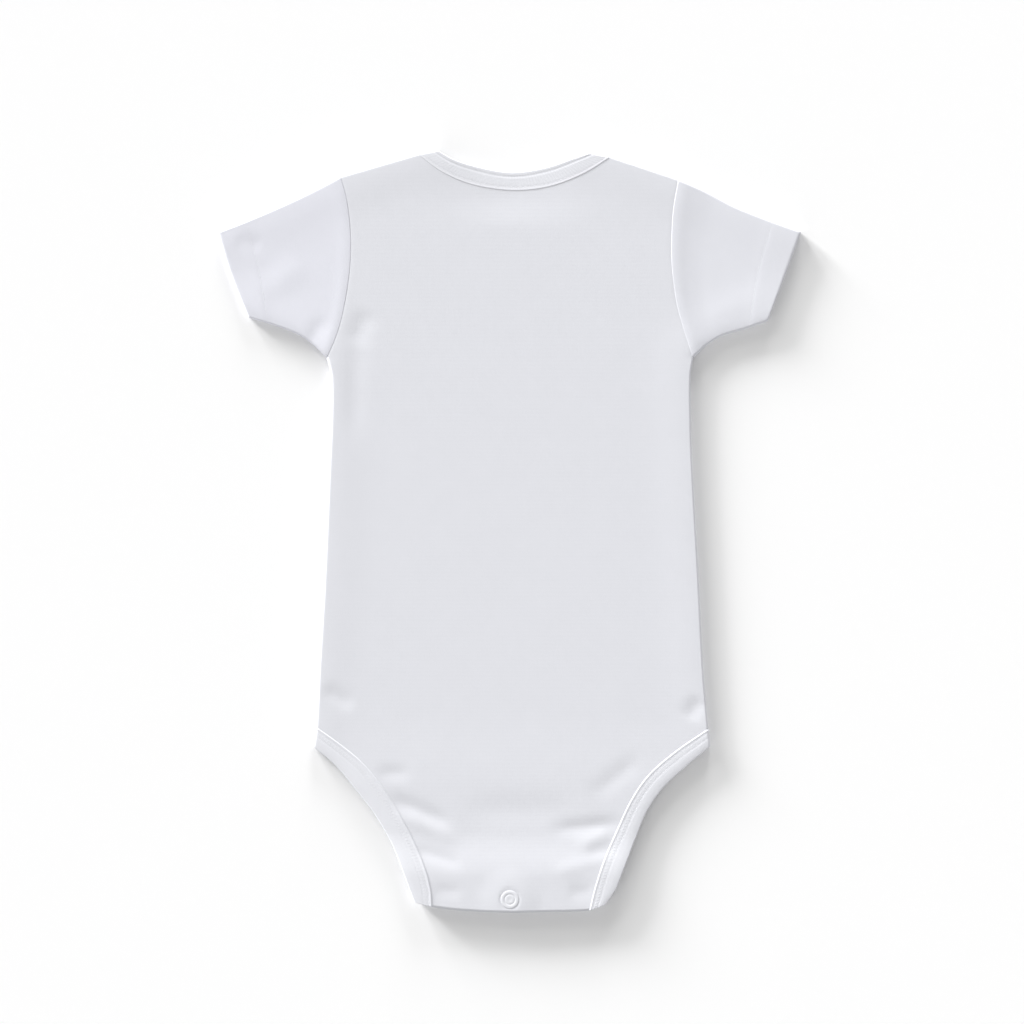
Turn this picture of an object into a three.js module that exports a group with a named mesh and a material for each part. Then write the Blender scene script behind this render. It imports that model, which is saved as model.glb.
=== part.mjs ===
// A baby's short-sleeved bodysuit in white cotton jersey, laid flat on a table with its back up.
// Lengths are millimetres. +X is to the right of the garment as it lies, +Y runs from the crotch
// to the neck and +Z is up. The origin is on the table, under the middle of the outline.
import * as THREE from 'three';

// Walls and gaps
const CLOTH = 1.2; // jersey of the panels and sleeves
const LEG_BINDING = 1.8; // rib binding, folded double over a raw edge
const NECK_BINDING = 1.4;
const HEM_EXTRA = 0.6; // what a turned sleeve hem adds on the inside
const HEM_WIDTH = 11;
const SEAM_GAP = 0.35;
const HEAD_GAP = 0.45; // round the sleeve heads, where both walls turn at the underarm

// Heights of the middle of a wall above the table
const FLOOR_CLOTH = CLOTH / 2;
const SEAM_HEIGHT = 2.45; // the side and underarm seams, halfway up the rolled edge
const ROLL_TOP = 4.3; // crest of the rolled edges
const BACK_REST = 4; // the flat middle of the back
const CROTCH_TOP = 5.5; // the back where it lies on the tongue
const FRONT_OVER_LAP = 1.8; // how far the shoulder laps lift the front that lies on them
const LAP_LIFT = { reach: 24, fade: 12, side: 88, sideFade: 14 }; // covers the laps and fades
const SEAT = { lift: 0.3, start: -95, fade: 40 }; // the seat stands a little fuller
const NECK_SAG = { depth: 0.5, start: 158, fade: 18, halfWidth: 30 };
const TONGUE_HEIGHT = 3.3;
const SNAP_HEIGHT = 5.9;

// Reach of the rolled edges, measured inwards from a fold
const ROLL = 3;
const ROLL_CREST = 4;
const ROLL_FADE = 12;

// Steps in from a fold at which a sheet has a row or column of points
const ROLL_STEPS = [0, 0.5, 1.6, ROLL];
const EDGE_STEPS = [...ROLL_STEPS, 10, 22];
const LAP_STEPS = [...EDGE_STEPS, 34, 46];
const TURN_STEPS = [0.9, 3.4]; // along a seam that crosses a fold aslant
const CROTCH_ROLL = 1.2;
const CROTCH_STEPS = [0.16, 0.6, CROTCH_ROLL];
const TONGUE_STEPS = [...CROTCH_STEPS, 5, 9.5, 14];
const CROTCH_INSET = 1.4; // the front folds this far inside the back's bottom hem
const CROTCH_RISE = { start: -158, end: -182 }; // where the back climbs onto the tongue

// Snap
const SNAP = { x: 0, y: -193.3, plateau: 5.5, fade: 13, clear: 12 };
const SNAP_GAP = 0.2; // between the snap's parts and the cloth under them
const SNAP_SEGMENTS = 20;

const WHITE = { body: 0xe3e4e9, sleeve: 0xe6e9f0, binding: 0xe8e8ee, snap: 0xeceef4 };

const table = (names, rows) => rows.map(
  (row) => Object.fromEntries(names.map((name, i) => [name, row[i]])));
const pairs = (rows, x, y) => rows.map((row) => [row[x], row[y]]);

// Armhole seams, from the shoulder tip to the underarm
const ARMHOLE = table(['leftX', 'leftY', 'rightX', 'rightY'], [
  [-88.6, 185.6, 88.3, 184.1],
  [-85.4, 173.7, 85.6, 168],
  [-83.4, 155, 84.7, 150.5],
  [-83.9, 136.9, 85.1, 137],
  [-87.1, 116.1, 87.6, 119],
  [-90.7, 102.8, 91.3, 105.5],
  [-95.6, 91.2, 95.9, 91.2],
]);

// Folded body sides, along the middle of the wall, from the underarm to the leg binding's edge
const SIDE = table(['y', 'left', 'right'], [
  [91.2, -95.6, 95.9],
  [82, -93.4, 94.4],
  [61, -93.2, 94.4],
  [35, -94.3, 95.2],
  [-28, -97.1, 98.7],
  [-70, -99.6, 100.8],
  [-103, -101.3, 103.5],
  [-113.5, -102.8, 104.6],
]);

// Sleeve edges, along the middle of the wall: the shoulder fold from the body to the cuff, then
// the underarm seam from the body to the cuff
const SLEEVE_TOP = table(['leftX', 'leftY', 'rightX', 'rightY'], [
  [-88.6, 185.6, 88.3, 184.1],
  [-104, 177.4, 102.5, 177.7],
  [-121, 169.4, 116.7, 170.3],
  [-138.3, 162, 135, 163],
  [-152.7, 156.4, 152.8, 156.7],
]);
const SLEEVE_UNDER = table(['leftX', 'leftY', 'rightX', 'rightY'], [
  [-95.6, 91.2, 95.9, 91.2],
  [-103.4, 98.5, 103.7, 98.3],
  [-110.1, 103.1, 111, 102.6],
  [-122.7, 108.1, 124, 106.5],
  [-137, 112.4, 135.5, 110.6],
]);
const CUFF_BOW = { left: 1.2, right: 0.2 };
const SLEEVE_TILT = { left: -0.7, right: 0.8 }; // rise of the upper layer by the cuff
const SLEEVE_FALL = { left: 0, right: 0.5 }; // its drop beside the armhole seam

// Back neckline seam, and the free edge of its binding, from the left shoulder fold to the right
const BACK_NECK = table(['x', 'y', 'freeX', 'freeY'], [
  [-47.9, 197.4, -37.5, 199.4],
  [-36.6, 188.9, -29.5, 195],
  [-20.9, 182, -16.5, 191],
  [1.2, 178.6, 1, 188.2],
  [21.1, 180.7, 18.5, 190.6],
  [39.5, 187.8, 33, 195.3],
  [52.6, 196, 41.5, 198],
]);

// Bound edge of the shoulder laps, on the underside, from the shoulder fold to the armhole
const LAP = table(['y', 'left', 'right', 'freeY', 'freeLeft', 'freeRight'], [
  [184, -52.5, 57, 181.5, -44.5, 49],
  [170, -60, 64.2, 166.5, -52.6, 56.6],
  [155, -70.5, 73.8, 150, -64.2, 67],
  [139.5, -83.9, 85, 127, -85.2, 86],
]);

// Front neckline seam, and the free edge of its binding
const FRONT_NECK = table(['x', 'y', 'freeX', 'freeY'], [
  [-57.5, 186.5, -49.5, 189],
  [-53.5, 170, -45, 172.5],
  [-36, 151, -31, 157.5],
  [0, 141.5, 0, 149.5],
  [38, 151, 33, 157.5],
  [56.5, 170, 48, 172.5],
  [61.5, 185.5, 53.5, 188],
]);

// Leg binding on the back: its seam and its outer edge, from the hip to the bottom
const BACK_LEG_LEFT = table(['x', 'y', 'freeX', 'freeY'], [
  [-101.3, -103.3, -102.8, -113.5],
  [-88.5, -112.5, -91.5, -123],
  [-77.3, -121.9, -80.5, -136.2],
  [-65.1, -137.1, -71.5, -147.8],
  [-53.9, -155.8, -62.5, -163],
  [-45.5, -174.4, -56, -179],
  [-41.6, -188, -51.3, -191.4],
  [-41, -197.2, -49.7, -194.9],
]);
const BACK_LEG_RIGHT = table(['x', 'y', 'freeX', 'freeY'], [
  [103.5, -104.5, 104.6, -113.5],
  [87.5, -115.5, 92, -124],
  [73.4, -127.7, 80.5, -134.8],
  [64.1, -140.8, 72.4, -146.4],
  [56.6, -156.6, 66, -161.5],
  [50, -171.8, 60.5, -175.8],
  [45.3, -185.8, 55.6, -188],
  [42, -199, 50, -196.2],
]);

// Leg binding on the front, as shares of the half width at the hip, from the hip to the crotch
const FRONT_LEG = table(['x', 'y', 'freeX', 'freeY'], [
  [0.985, -103.3, 1, -113.5],
  [0.861, -108.3, 0.893, -117.8],
  [0.739, -115, 0.783, -124],
  [0.614, -125.5, 0.677, -133],
  [0.519, -138, 0.597, -144],
  [0.453, -151, 0.54, -155.5],
  [0.413, -165, 0.502, -168.5],
  [0.393, -180, 0.4785, -182],
  [0.3865, -194, 0.47, -194],
]);

// Bottom hem of the back
const HEM_LINE = table(['x', 'y'], [
  [-49.7, -194.9],
  [-41, -197.2],
  [-25.6, -199.1],
  [-0.4, -200.2],
  [20.6, -199.8],
  [42, -199],
  [50, -196.2],
]);

// Soft folds in the upper cloth. Angle in degrees from +X, width is half of the fold's own width.
const FOLDS = table(['x', 'y', 'length', 'angle', 'width', 'height'], [
  [-60.8, -127.2, 14, 0, 3.8, -0.5],
  [-46.9, -146.9, 30, -25, 4.2, -0.9],
  [-42.7, -155.6, 30, -28, 4.2, 0.6],
  [-37.9, -170.8, 22, -20, 3.6, -0.7],
  [-32.4, -189, 12, -8, 3.4, -0.4],
  [-90, -87.3, 15, -32, 4.2, -0.6],
  [96.6, -93.5, 11, 60, 4.4, -0.8],
  [55.8, -129.3, 28, 38, 5, -0.5],
  [40.6, -155, 32, 5, 3.8, -0.8],
  [44, -162, 16, 24, 3.6, 0.5],
  [48.2, -168, 13, 15, 3.4, -0.4],
  [36.9, -175.5, 24, 14, 3.8, 0.4],
  [36.9, -189.5, 11, 0, 4.2, -0.5],
  [5.4, -147, 52, 0, 8, -0.5],
  [-78.1, 106.4, 16, 70, 5.5, -0.6],
  [-81.2, 76, 52, 88, 5.5, -0.5],
  [-101.5, 104.5, 14, 60, 4, -0.5],
  [-136.5, 151, 12, -20, 4.5, -0.4],
  [-119, 132, 26, 35, 7, 0.4],
  [94, 140, 44, 95, 6, -0.2],
  [118, 118, 34, 25, 7, 0.3],
]);

const lerp = THREE.MathUtils.lerp;
const smooth = (value) => THREE.MathUtils.smoothstep(value, 0, 1);
const bell = (value) => Math.exp(-(value ** 2));
const spread = (length, make) => Array.from({ length }, (_, i) => make(i));
const curve = (list) => new THREE.CatmullRomCurve3(
  list.map(([x, y]) => new THREE.Vector3(x, y, 0)), false, 'centripetal');
const evenPoints = (line, pieces) => line.getSpacedPoints(pieces).map((p) => [p.x, p.y]);

// The second column of a list of pairs as a smooth function of the first
function follow(list) {
  const rows = [...list].sort((a, b) => a[0] - b[0]);
  const last = rows.length - 1;
  const slope = (i) => {
    const before = rows[Math.max(i - 1, 0)];
    const after = rows[Math.min(i + 1, last)];
    return (after[1] - before[1]) / (after[0] - before[0]);
  };
  return (value) => {
    const at = THREE.MathUtils.clamp(value, rows[0][0], rows[last][0]);
    const i = Math.min(Math.max(rows.findIndex((row) => row[0] >= at), 1), last);
    const [start, end] = [rows[i - 1], rows[i]];
    const span = end[0] - start[0];
    const t = (at - start[0]) / span;
    const swell = t * (1 - t) * span;
    return lerp(start[1], end[1], t * t * (3 - 2 * t))
      + swell * ((1 - t) * slope(i - 1) - t * slope(i));
  };
}

const SIDES = {
  left: {
    sign: -1,
    armhole: pairs(ARMHOLE, 'leftX', 'leftY'),
    side: pairs(SIDE, 'y', 'left'),
    sleeveTop: pairs(SLEEVE_TOP, 'leftX', 'leftY'),
    sleeveUnder: pairs(SLEEVE_UNDER, 'leftX', 'leftY'),
    bow: CUFF_BOW.left,
    tilt: SLEEVE_TILT.left,
    fall: SLEEVE_FALL.left,
    backLeg: BACK_LEG_LEFT,
    neckCorner: BACK_NECK[0],
    lap: pairs(LAP, 'left', 'y'),
    lapFree: pairs(LAP, 'freeLeft', 'freeY'),
  },
  right: {
    sign: 1,
    armhole: pairs(ARMHOLE, 'rightX', 'rightY'),
    side: pairs(SIDE, 'y', 'right'),
    sleeveTop: pairs(SLEEVE_TOP, 'rightX', 'rightY'),
    sleeveUnder: pairs(SLEEVE_UNDER, 'rightX', 'rightY'),
    bow: CUFF_BOW.right,
    tilt: SLEEVE_TILT.right,
    fall: SLEEVE_FALL.right,
    backLeg: BACK_LEG_RIGHT,
    neckCorner: BACK_NECK.at(-1),
    lap: pairs(LAP, 'right', 'y'),
    lapFree: pairs(LAP, 'freeRight', 'freeY'),
  },
};
const tipOf = (side) => side.armhole[0];
const underarmOf = (side) => side.armhole.at(-1);
const hipOf = (side) => side.side.at(-1);

// The lines along which the garment is folded flat or sewn at a rolled edge
const LINE_PIECES = 24;
const foldLines = Object.values(SIDES).flatMap((side) => {
  const corner = side.neckCorner;
  const edge = follow(side.side);
  const [top, bottom] = [underarmOf(side)[1], hipOf(side)[0]];
  const levels = spread(LINE_PIECES + 1, (i) => lerp(top, bottom, i / LINE_PIECES));
  return [
    [[corner.freeX, corner.freeY], [corner.x, corner.y], tipOf(side)],
    evenPoints(curve(side.sleeveTop), LINE_PIECES),
    evenPoints(curve(side.sleeveUnder), LINE_PIECES),
    levels.map((y) => [edge(y), y]),
  ];
});

function foldDistance(x, y) {
  let nearest = Infinity;
  for (const line of foldLines) {
    for (let i = 1; i < line.length; i += 1) {
      const [ax, ay] = line[i - 1];
      const [dx, dy] = [line[i][0] - ax, line[i][1] - ay];
      const along = (x - ax) * dx + (y - ay) * dy;
      const t = THREE.MathUtils.clamp(along / (dx * dx + dy * dy), 0, 1);
      nearest = Math.min(nearest, Math.hypot(x - ax - t * dx, y - ay - t * dy));
    }
  }
  return nearest;
}

// Share of a roll's height at a distance from its outermost line: a quarter of an ellipse
const rollShare = (distance, reach) => {
  const t = 1 - Math.min(Math.max(distance, 0) / reach, 1);
  return Math.sqrt(1 - t * t);
};

// 1 over a shoulder lap, fading to 0 below its bound edge and along the sleeve
function lapCover(x, y) {
  const side = x < 0 ? SIDES.left : SIDES.right;
  const [startX, startY] = [side.neckCorner.freeX, side.neckCorner.freeY];
  const [endX, endY] = side.lapFree.at(-1);
  const length = Math.hypot(endX - startX, endY - startY);
  const across = ((x - startX) * (endY - startY) - (y - startY) * (endX - startX)) / length;
  const below = across * side.sign;
  const beyond = (Math.abs(x) - LAP_LIFT.side) / LAP_LIFT.sideFade;
  return smooth((LAP_LIFT.reach - below) / LAP_LIFT.fade) * smooth(1 - beyond);
}

function foldRelief(x, y) {
  return FOLDS.reduce((sum, fold) => {
    const angle = THREE.MathUtils.degToRad(fold.angle);
    const [dx, dy] = [x - fold.x, y - fold.y];
    const along = (dx * Math.cos(angle) + dy * Math.sin(angle)) / (fold.length / 2);
    const across = (dy * Math.cos(angle) - dx * Math.sin(angle)) / fold.width;
    return sum + fold.height * bell(across) * bell(along ** 2);
  }, 0);
}

// Height of the upper layer: back, sleeve tops and the bindings that show
function backHeight(x, y) {
  const distance = foldDistance(x, y);
  const crotch = smooth((CROTCH_RISE.start - y) / (CROTCH_RISE.start - CROTCH_RISE.end));
  const seat = SEAT.lift * smooth((SEAT.start - y) / SEAT.fade);
  const crest = bell(Math.max(distance - ROLL_CREST, 0) / ROLL_FADE);
  const cloth = lerp(lerp(BACK_REST + seat, ROLL_TOP, crest), CROTCH_TOP, crotch);
  const neck = smooth((y - NECK_SAG.start) / NECK_SAG.fade) * bell(x / NECK_SAG.halfWidth);
  const fromSnap = Math.hypot(x - SNAP.x, y - SNAP.y) - SNAP.plateau;
  const overSnap = (SNAP_HEIGHT - CROTCH_TOP) * smooth(1 - fromSnap / SNAP.fade);
  const folds = foldRelief(x, y) * smooth(fromSnap / SNAP.clear);
  const level = cloth + folds + overSnap - NECK_SAG.depth * neck;
  return lerp(SEAM_HEIGHT, level, rollShare(distance, ROLL));
}

const hemY = follow(pairs(HEM_LINE, 'x', 'y'));
const crotchFold = (x) => hemY(x) + CROTCH_INSET;

// Height of a layer that lies on the table, and of the front, which the laps lift
function floorHeight(x, y, level) {
  return lerp(SEAM_HEIGHT, level, rollShare(foldDistance(x, y), ROLL));
}
function frontHeight(x, y, level) {
  const lifted = floorHeight(x, y, level + FRONT_OVER_LAP * lapCover(x, y));
  const middle = (level + TONGUE_HEIGHT) / 2;
  return lerp(middle, lifted, rollShare(y - crotchFold(x), CROTCH_ROLL));
}
function tongueHeight(x, y, level) {
  const middle = (level + TONGUE_HEIGHT) / 2;
  return lerp(middle, TONGUE_HEIGHT, rollShare(y - crotchFold(x), CROTCH_ROLL));
}

const CLOTH_ROUGHNESS = 0.9;
const SNAP_ROUGHNESS = 0.45;
function named(name, geometry, color, roughness) {
  const mesh = new THREE.Mesh(geometry, new THREE.MeshStandardMaterial({ color, roughness }));
  mesh.name = name;
  return mesh;
}

// Heights at which a wall stands upright: where it passes a fold, or ends at a side seam
const SEAM_LINES = [SEAM_HEIGHT, SEAM_HEIGHT + SEAM_GAP / 2, SEAM_HEIGHT - SEAM_GAP / 2];

// A closed solid round a sheet. Each grid is a list of rows of points in the middle of the wall,
// and grids that share points are joined. outside and inside are the wall's reach on either side.
function sheet(name, grids, colour, outside, inside = () => outside) {
  const keys = new Map();
  const points = [];
  const inner = [];
  const faces = [];
  const vertex = (point) => {
    const key = point.map((value) => value.toFixed(3)).join();
    if (!keys.has(key)) {
      keys.set(key, points.length);
      points.push(new THREE.Vector3(...point));
    }
    return keys.get(key);
  };
  grids.forEach((rows) => {
    const ids = rows.map((row) => row.map(vertex));
    rows.forEach((row, r) => row.forEach((point, c) => { inner[ids[r][c]] = inside(r, c); }));
    for (let r = 0; r < ids.length - 1; r += 1) {
      for (let c = 0; c < ids[r].length - 1; c += 1) {
        const corners = [ids[r][c], ids[r + 1][c], ids[r + 1][c + 1], ids[r][c + 1]];
        faces.push([corners[0], corners[1], corners[2]], [corners[0], corners[2], corners[3]]);
      }
    }
  });
  const kept = faces.filter((face) => new Set(face).size === 3);
  const normals = points.map(() => new THREE.Vector3());
  kept.forEach((face) => {
    const [a, b, c] = face.map((id) => points[id]);
    const normal = new THREE.Vector3().crossVectors(b.clone().sub(a), c.clone().sub(a));
    face.forEach((id) => normals[id].add(normal));
  });
  normals.forEach((normal, i) => {
    if (SEAM_LINES.some((height) => Math.abs(points[i].z - height) < 1e-6)) normal.z = 0;
    normal.normalize();
  });

  const moved = (i, reach) => points[i].clone().addScaledVector(normals[i], reach).toArray();
  const positions = [
    ...points.flatMap((_, i) => moved(i, outside)),
    ...points.flatMap((_, i) => moved(i, -inner[i])),
  ];
  const below = points.length;
  const index = kept.flatMap(([a, b, c]) => [a, b, c, a + below, c + below, b + below]);
  const edges = new Set(kept.flatMap(([a, b, c]) => [`${a},${b}`, `${b},${c}`, `${c},${a}`]));
  edges.forEach((edge) => {
    const [a, b] = edge.split(',').map(Number);
    if (!edges.has(`${b},${a}`)) {
      index.push(a, a + below, b + below, a, b + below, b);
    }
  });
  const geometry = new THREE.BufferGeometry();
  geometry.setAttribute('position', new THREE.Float32BufferAttribute(positions, 3));
  geometry.setIndex(index);
  geometry.computeVertexNormals();
  return named(name, geometry, colour, CLOTH_ROUGHNESS);
}

// Levels of the rows between the shoulder tip and the underarm, shared by all that meets there
const ARMHOLE_STEPS = [...LAP_STEPS, 58, 71];
const UNDERARM_STEPS = [8, 3, 1.6, 0.5, 0];
function armholeLevels(side) {
  const [top, bottom] = [tipOf(side)[1], underarmOf(side)[1]];
  return [
    ...ARMHOLE_STEPS.map((step) => top - step),
    ...UNDERARM_STEPS.map((step) => bottom + step),
  ];
}
const armholeX = (side) => follow(side.armhole.map(([x, y]) => [y, x]));

// Plan of a panel: rows of x and y, from its top edge down to its bottom edge. The columns next to
// its sides keep to EDGE_STEPS, and those between start at the points of the top edge.
const BODY_SHARES = [0.06, 0.25, 0.5, 0.75, 0.94, 1];
const LEG_SHARES = [0.08, 0.18, 0.28, 0.38, 0.48, 0.59, 0.7, 0.81, 0.91, 1];
const HEM_SHARE = 0.3; // of the leg, below which the rows bend to the bottom edge

function panelPlan({ firstLevel, topEdge, legs, legSteps, bottom }) {
  const sides = [SIDES.left, SIDES.right];
  const hips = legs.map((leg) => leg[0][1]);
  const ends = legs.map((leg) => leg.at(-1)[1]);
  const levels = sides.map((side, i) => {
    const armhole = armholeLevels(side).slice(firstLevel);
    const legTop = hips[i] - legSteps.at(-1);
    return [
      ...armhole,
      ...BODY_SHARES.map((share) => lerp(armhole.at(-1), hips[i], share)),
      ...legSteps.map((step) => hips[i] - step),
      ...LEG_SHARES.map((share) => lerp(legTop, ends[i], share)),
    ];
  });
  const edges = sides.map((side, i) => {
    const armhole = armholeX(side);
    const fold = follow(side.side);
    const leg = follow(legs[i].map(([x, y]) => [y, x]));
    return (y) => {
      if (y >= underarmOf(side)[1]) return armhole(y);
      return y > hips[i] ? fold(y) : leg(y);
    };
  });
  const tips = sides.map((side, i) => [edges[i](levels[i][0]), levels[i][0]]);
  const inset = EDGE_STEPS.at(-1);
  const last = 2 * EDGE_STEPS.length + topEdge.length - 1;
  const topWidth = tips[1][0] - tips[0][0] - 2 * inset;
  const topShares = topEdge.map(([x]) => (x - tips[0][0] - inset) / topWidth);
  const column = (left, right, c, evenness) => {
    if (c < EDGE_STEPS.length) return left + EDGE_STEPS[c];
    if (last - c < EDGE_STEPS.length) return right - EDGE_STEPS[last - c];
    const middle = c - EDGE_STEPS.length;
    const share = lerp(topShares[middle], (middle + 1) / (topEdge.length + 1), evenness);
    return lerp(left + inset, right - inset, share);
  };
  const topY = (x, c) => {
    const middle = c - EDGE_STEPS.length;
    if (topEdge[middle]) return topEdge[middle][1];
    const [tip, corner] = middle < 0 ? [tips[0], topEdge[0]] : [tips[1], topEdge.at(-1)];
    return lerp(tip[1], corner[1], (x - tip[0]) / (corner[0] - tip[0]));
  };
  const legTop = levels[0].length - LEG_SHARES.length;
  const yoke = levels[0][0] - inset;
  const rows = levels[0].map((leftY, r) => {
    const rightY = levels[1][r];
    const [left, right] = [edges[0](leftY), edges[1](rightY)];
    const evenness = smooth((yoke - leftY) / (yoke - underarmOf(SIDES.left)[1]));
    const hem = smooth(((LEG_SHARES[r - legTop] ?? 0) - HEM_SHARE) / (1 - HEM_SHARE));
    return spread(last + 1, (c) => {
      const x = column(left, right, c, evenness);
      const share = (x - left) / (right - left);
      const startX = column(tips[0][0], tips[1][0], c, 0);
      const startShare = (startX - tips[0][0]) / (tips[1][0] - tips[0][0]);
      const rise = topY(startX, c) - lerp(tips[0][1], tips[1][1], startShare);
      const drop = bottom(x) - lerp(bottom(left), bottom(right), share);
      return [x, lerp(leftY, rightY, share) + (1 - evenness) * rise + hem * drop];
    });
  });
  const underarmRow = armholeLevels(SIDES.left).length - firstLevel - 1;
  return { rows, underarmRow, hipRow: legTop - legSteps.length - 1 };
}

// Heights on a plan. Along the side seams the wall ends just clear of the other layer's.
function raise({ rows, underarmRow, hipRow }, height, seamHeight) {
  return rows.map((row, r) => row.map(([x, y], c) => {
    const onSeam = (c === 0 || c === row.length - 1) && r >= underarmRow && r <= hipRow;
    return [x, y, onSeam ? seamHeight : height(x, y)];
  }));
}

// Points of the back's neckline and, outside its two corners, of the shoulder folds beside them
const neckCurve = curve(pairs(BACK_NECK, 'x', 'y'));
const NECK_POINTS = 5;
const LAP_BOUND_LENGTH = 70;
function backTopEdge() {
  const length = neckCurve.getLength();
  const near = TURN_STEPS.map((step) => step / length);
  const far = near.map((share) => 1 - share).reverse();
  const even = spread(NECK_POINTS, (i) => lerp(near.at(-1), far[0], (i + 1) / (NECK_POINTS + 1)));
  const shares = [0, ...near, ...even, ...far, 1];
  const neckline = shares.map((share) => neckCurve.getPointAt(share)).map((p) => [p.x, p.y]);
  const beside = Object.values(SIDES).map((side) => {
    const [tip, corner] = [tipOf(side), [side.neckCorner.x, side.neckCorner.y]];
    return TURN_STEPS.map((step) => {
      const share = step / LAP_BOUND_LENGTH;
      return [lerp(corner[0], tip[0], share), lerp(corner[1], tip[1], share)];
    });
  });
  return { before: beside[0].reverse(), neckline, after: beside[1] };
}

const BACK_LEG_STEPS = [0.6, 2.3, 5.5];
const FRONT_LEG_STEPS = [0.3, 1.2, 3.2];
const backEdge = backTopEdge();
const backPlan = panelPlan({
  firstLevel: 0,
  topEdge: [...backEdge.before, ...backEdge.neckline, ...backEdge.after],
  legs: [BACK_LEG_LEFT, BACK_LEG_RIGHT].map((rows) => pairs(rows, 'x', 'y')),
  legSteps: BACK_LEG_STEPS,
  bottom: hemY,
});
const lapColumns = EDGE_STEPS.length + backEdge.before.length + 1;
const laps = {
  left: shoulderLap(SIDES.left, backPlan.rows[0].slice(0, lapColumns)),
  right: shoulderLap(SIDES.right, backPlan.rows[0].slice(-lapColumns).reverse()),
};

// A lap on the underside, as rows from the shoulder fold to its bound edge, armhole end first
function shoulderLap(side, fold) {
  const [tip, corner] = [fold[0], fold.at(-1)];
  const armhole = armholeX(side);
  const bound = curve([corner, ...side.lap]);
  const end = bound.getPointAt(1);
  return LAP_STEPS.map((step, k) => fold.map(([startX, startY]) => {
    const share = (corner[0] - startX) / (corner[0] - tip[0]);
    const edge = bound.getPointAt(share);
    const length = Math.hypot(edge.x - startX, edge.y - startY);
    const even = length * k / (LAP_STEPS.length - 1);
    const rolled = Math.min(ROLL, length * (ROLL_STEPS.length - 1) / (LAP_STEPS.length - 1));
    const run = step <= ROLL
      ? Math.min(step, even)
      : lerp(rolled, length, (step - ROLL) / (LAP_STEPS.at(-1) - ROLL));
    const t = length > 0 ? run / length : 0;
    const y = lerp(startY, edge.y, t);
    const level = lerp(tip[1], end.y, t);
    const bow = share * (armhole(level) - lerp(tip[0], end.x, t));
    return [lerp(startX, edge.x, t) + bow, y];
  }));
}

// Back: the sheet that shows, and the laps that carry on over the shoulder folds
function backPanel() {
  const top = raise(backPlan, backHeight, SEAM_HEIGHT + SEAM_GAP / 2);
  const last = top[0].length - 1;
  top[0].forEach((point, c) => {
    if (c < lapColumns || last - c < lapColumns) point[2] = SEAM_HEIGHT;
  });
  const under = (rows) => rows.map((row, r) => row.map(([x, y], c) => {
    const onFold = r === 0 || c === row.length - 1;
    return [x, y, onFold ? SEAM_HEIGHT : floorHeight(x, y, FLOOR_CLOTH)];
  })).reverse();
  const right = under(laps.right).map((row) => row.reverse());
  return sheet('back_panel', [top, under(laps.left), right], WHITE.body, CLOTH / 2);
}

// Front: it lies on the table and on the laps, folds up round the crotch and ends as a tongue
const FRONT_FIRST_LEVEL = 4;
const FRONT_NECK_PIECES = 8;
const frontLegs = Object.fromEntries(Object.entries(SIDES).map(([name, side]) => [name, {
  seam: frontLeg(side, 'x', 'y', side.backLeg[0].x, side.backLeg[0].y),
  free: frontLeg(side, 'freeX', 'freeY', side.backLeg[0].freeX, side.backLeg[0].freeY),
}]));
const frontPlan = panelPlan({
  firstLevel: FRONT_FIRST_LEVEL,
  topEdge: evenPoints(curve(pairs(FRONT_NECK, 'x', 'y')), FRONT_NECK_PIECES),
  legs: [frontLegs.left.seam, frontLegs.right.seam],
  legSteps: FRONT_LEG_STEPS,
  bottom: crotchFold,
});

function frontLeg(side, x, y, hipX, hipY) {
  const halfWidth = hipOf(side)[1];
  const rows = FRONT_LEG.map((row) => [row[x] * halfWidth, row[y]]);
  const end = rows.at(-1)[0];
  return [[hipX, hipY], ...rows.slice(1, -1), [end, crotchFold(end)]];
}

// The rows round the crotch fold, from the layer on the table to the end of the tongue
function crotchRows(fold, level) {
  const at = (step, height) => fold.map(([x]) => {
    const y = crotchFold(x) + step;
    return [x, y, height(x, y, level)];
  });
  return [
    ...[...CROTCH_STEPS].reverse().map((step) => at(step, frontHeight)),
    at(0, frontHeight),
    ...TONGUE_STEPS.map((step) => at(step, tongueHeight)),
  ];
}

function frontPanel() {
  const onTable = (x, y) => frontHeight(x, y, FLOOR_CLOTH);
  const front = raise(frontPlan, onTable, SEAM_HEIGHT - SEAM_GAP / 2);
  const rows = [...front.slice(0, -1), ...crotchRows(front.at(-1), FLOOR_CLOTH)];
  return sheet('front_panel', [rows.map((row) => row.reverse())], WHITE.body, CLOTH / 2);
}

// Sleeve: a flattened tube, open along its underarm seam, with the hem turned in at the cuff
const SLEEVE_STEPS = [2.5, 5, 10, 17];
const SLEEVE_SHARES = [0.25, 0.5, 0.75];
const HEM_TURN = 0.6; // run over which the wall grows to the hem's thickness
const HEAD_SHARE = 1 / 3; // of the sleeve, over which its columns change from the armhole's
const RIDGE = { height: 0.3, centre: 2.8, width: 2.2 }; // seam allowances in the sleeve head
const FALL_RUN = 14; // run from the armhole over which a sleeve falls by its fall

// Shares across a sleeve of a width: close together at both folds and even between
function sleeveShares(count, width) {
  const near = [...UNDERARM_STEPS].reverse().map((step) => step / width);
  const far = near.map((share) => 1 - share).reverse();
  const between = count - near.length - far.length;
  const even = spread(between, (i) => lerp(near.at(-1), far[0], (i + 1) / (between + 1)));
  return [...near, ...even, ...far];
}

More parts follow.
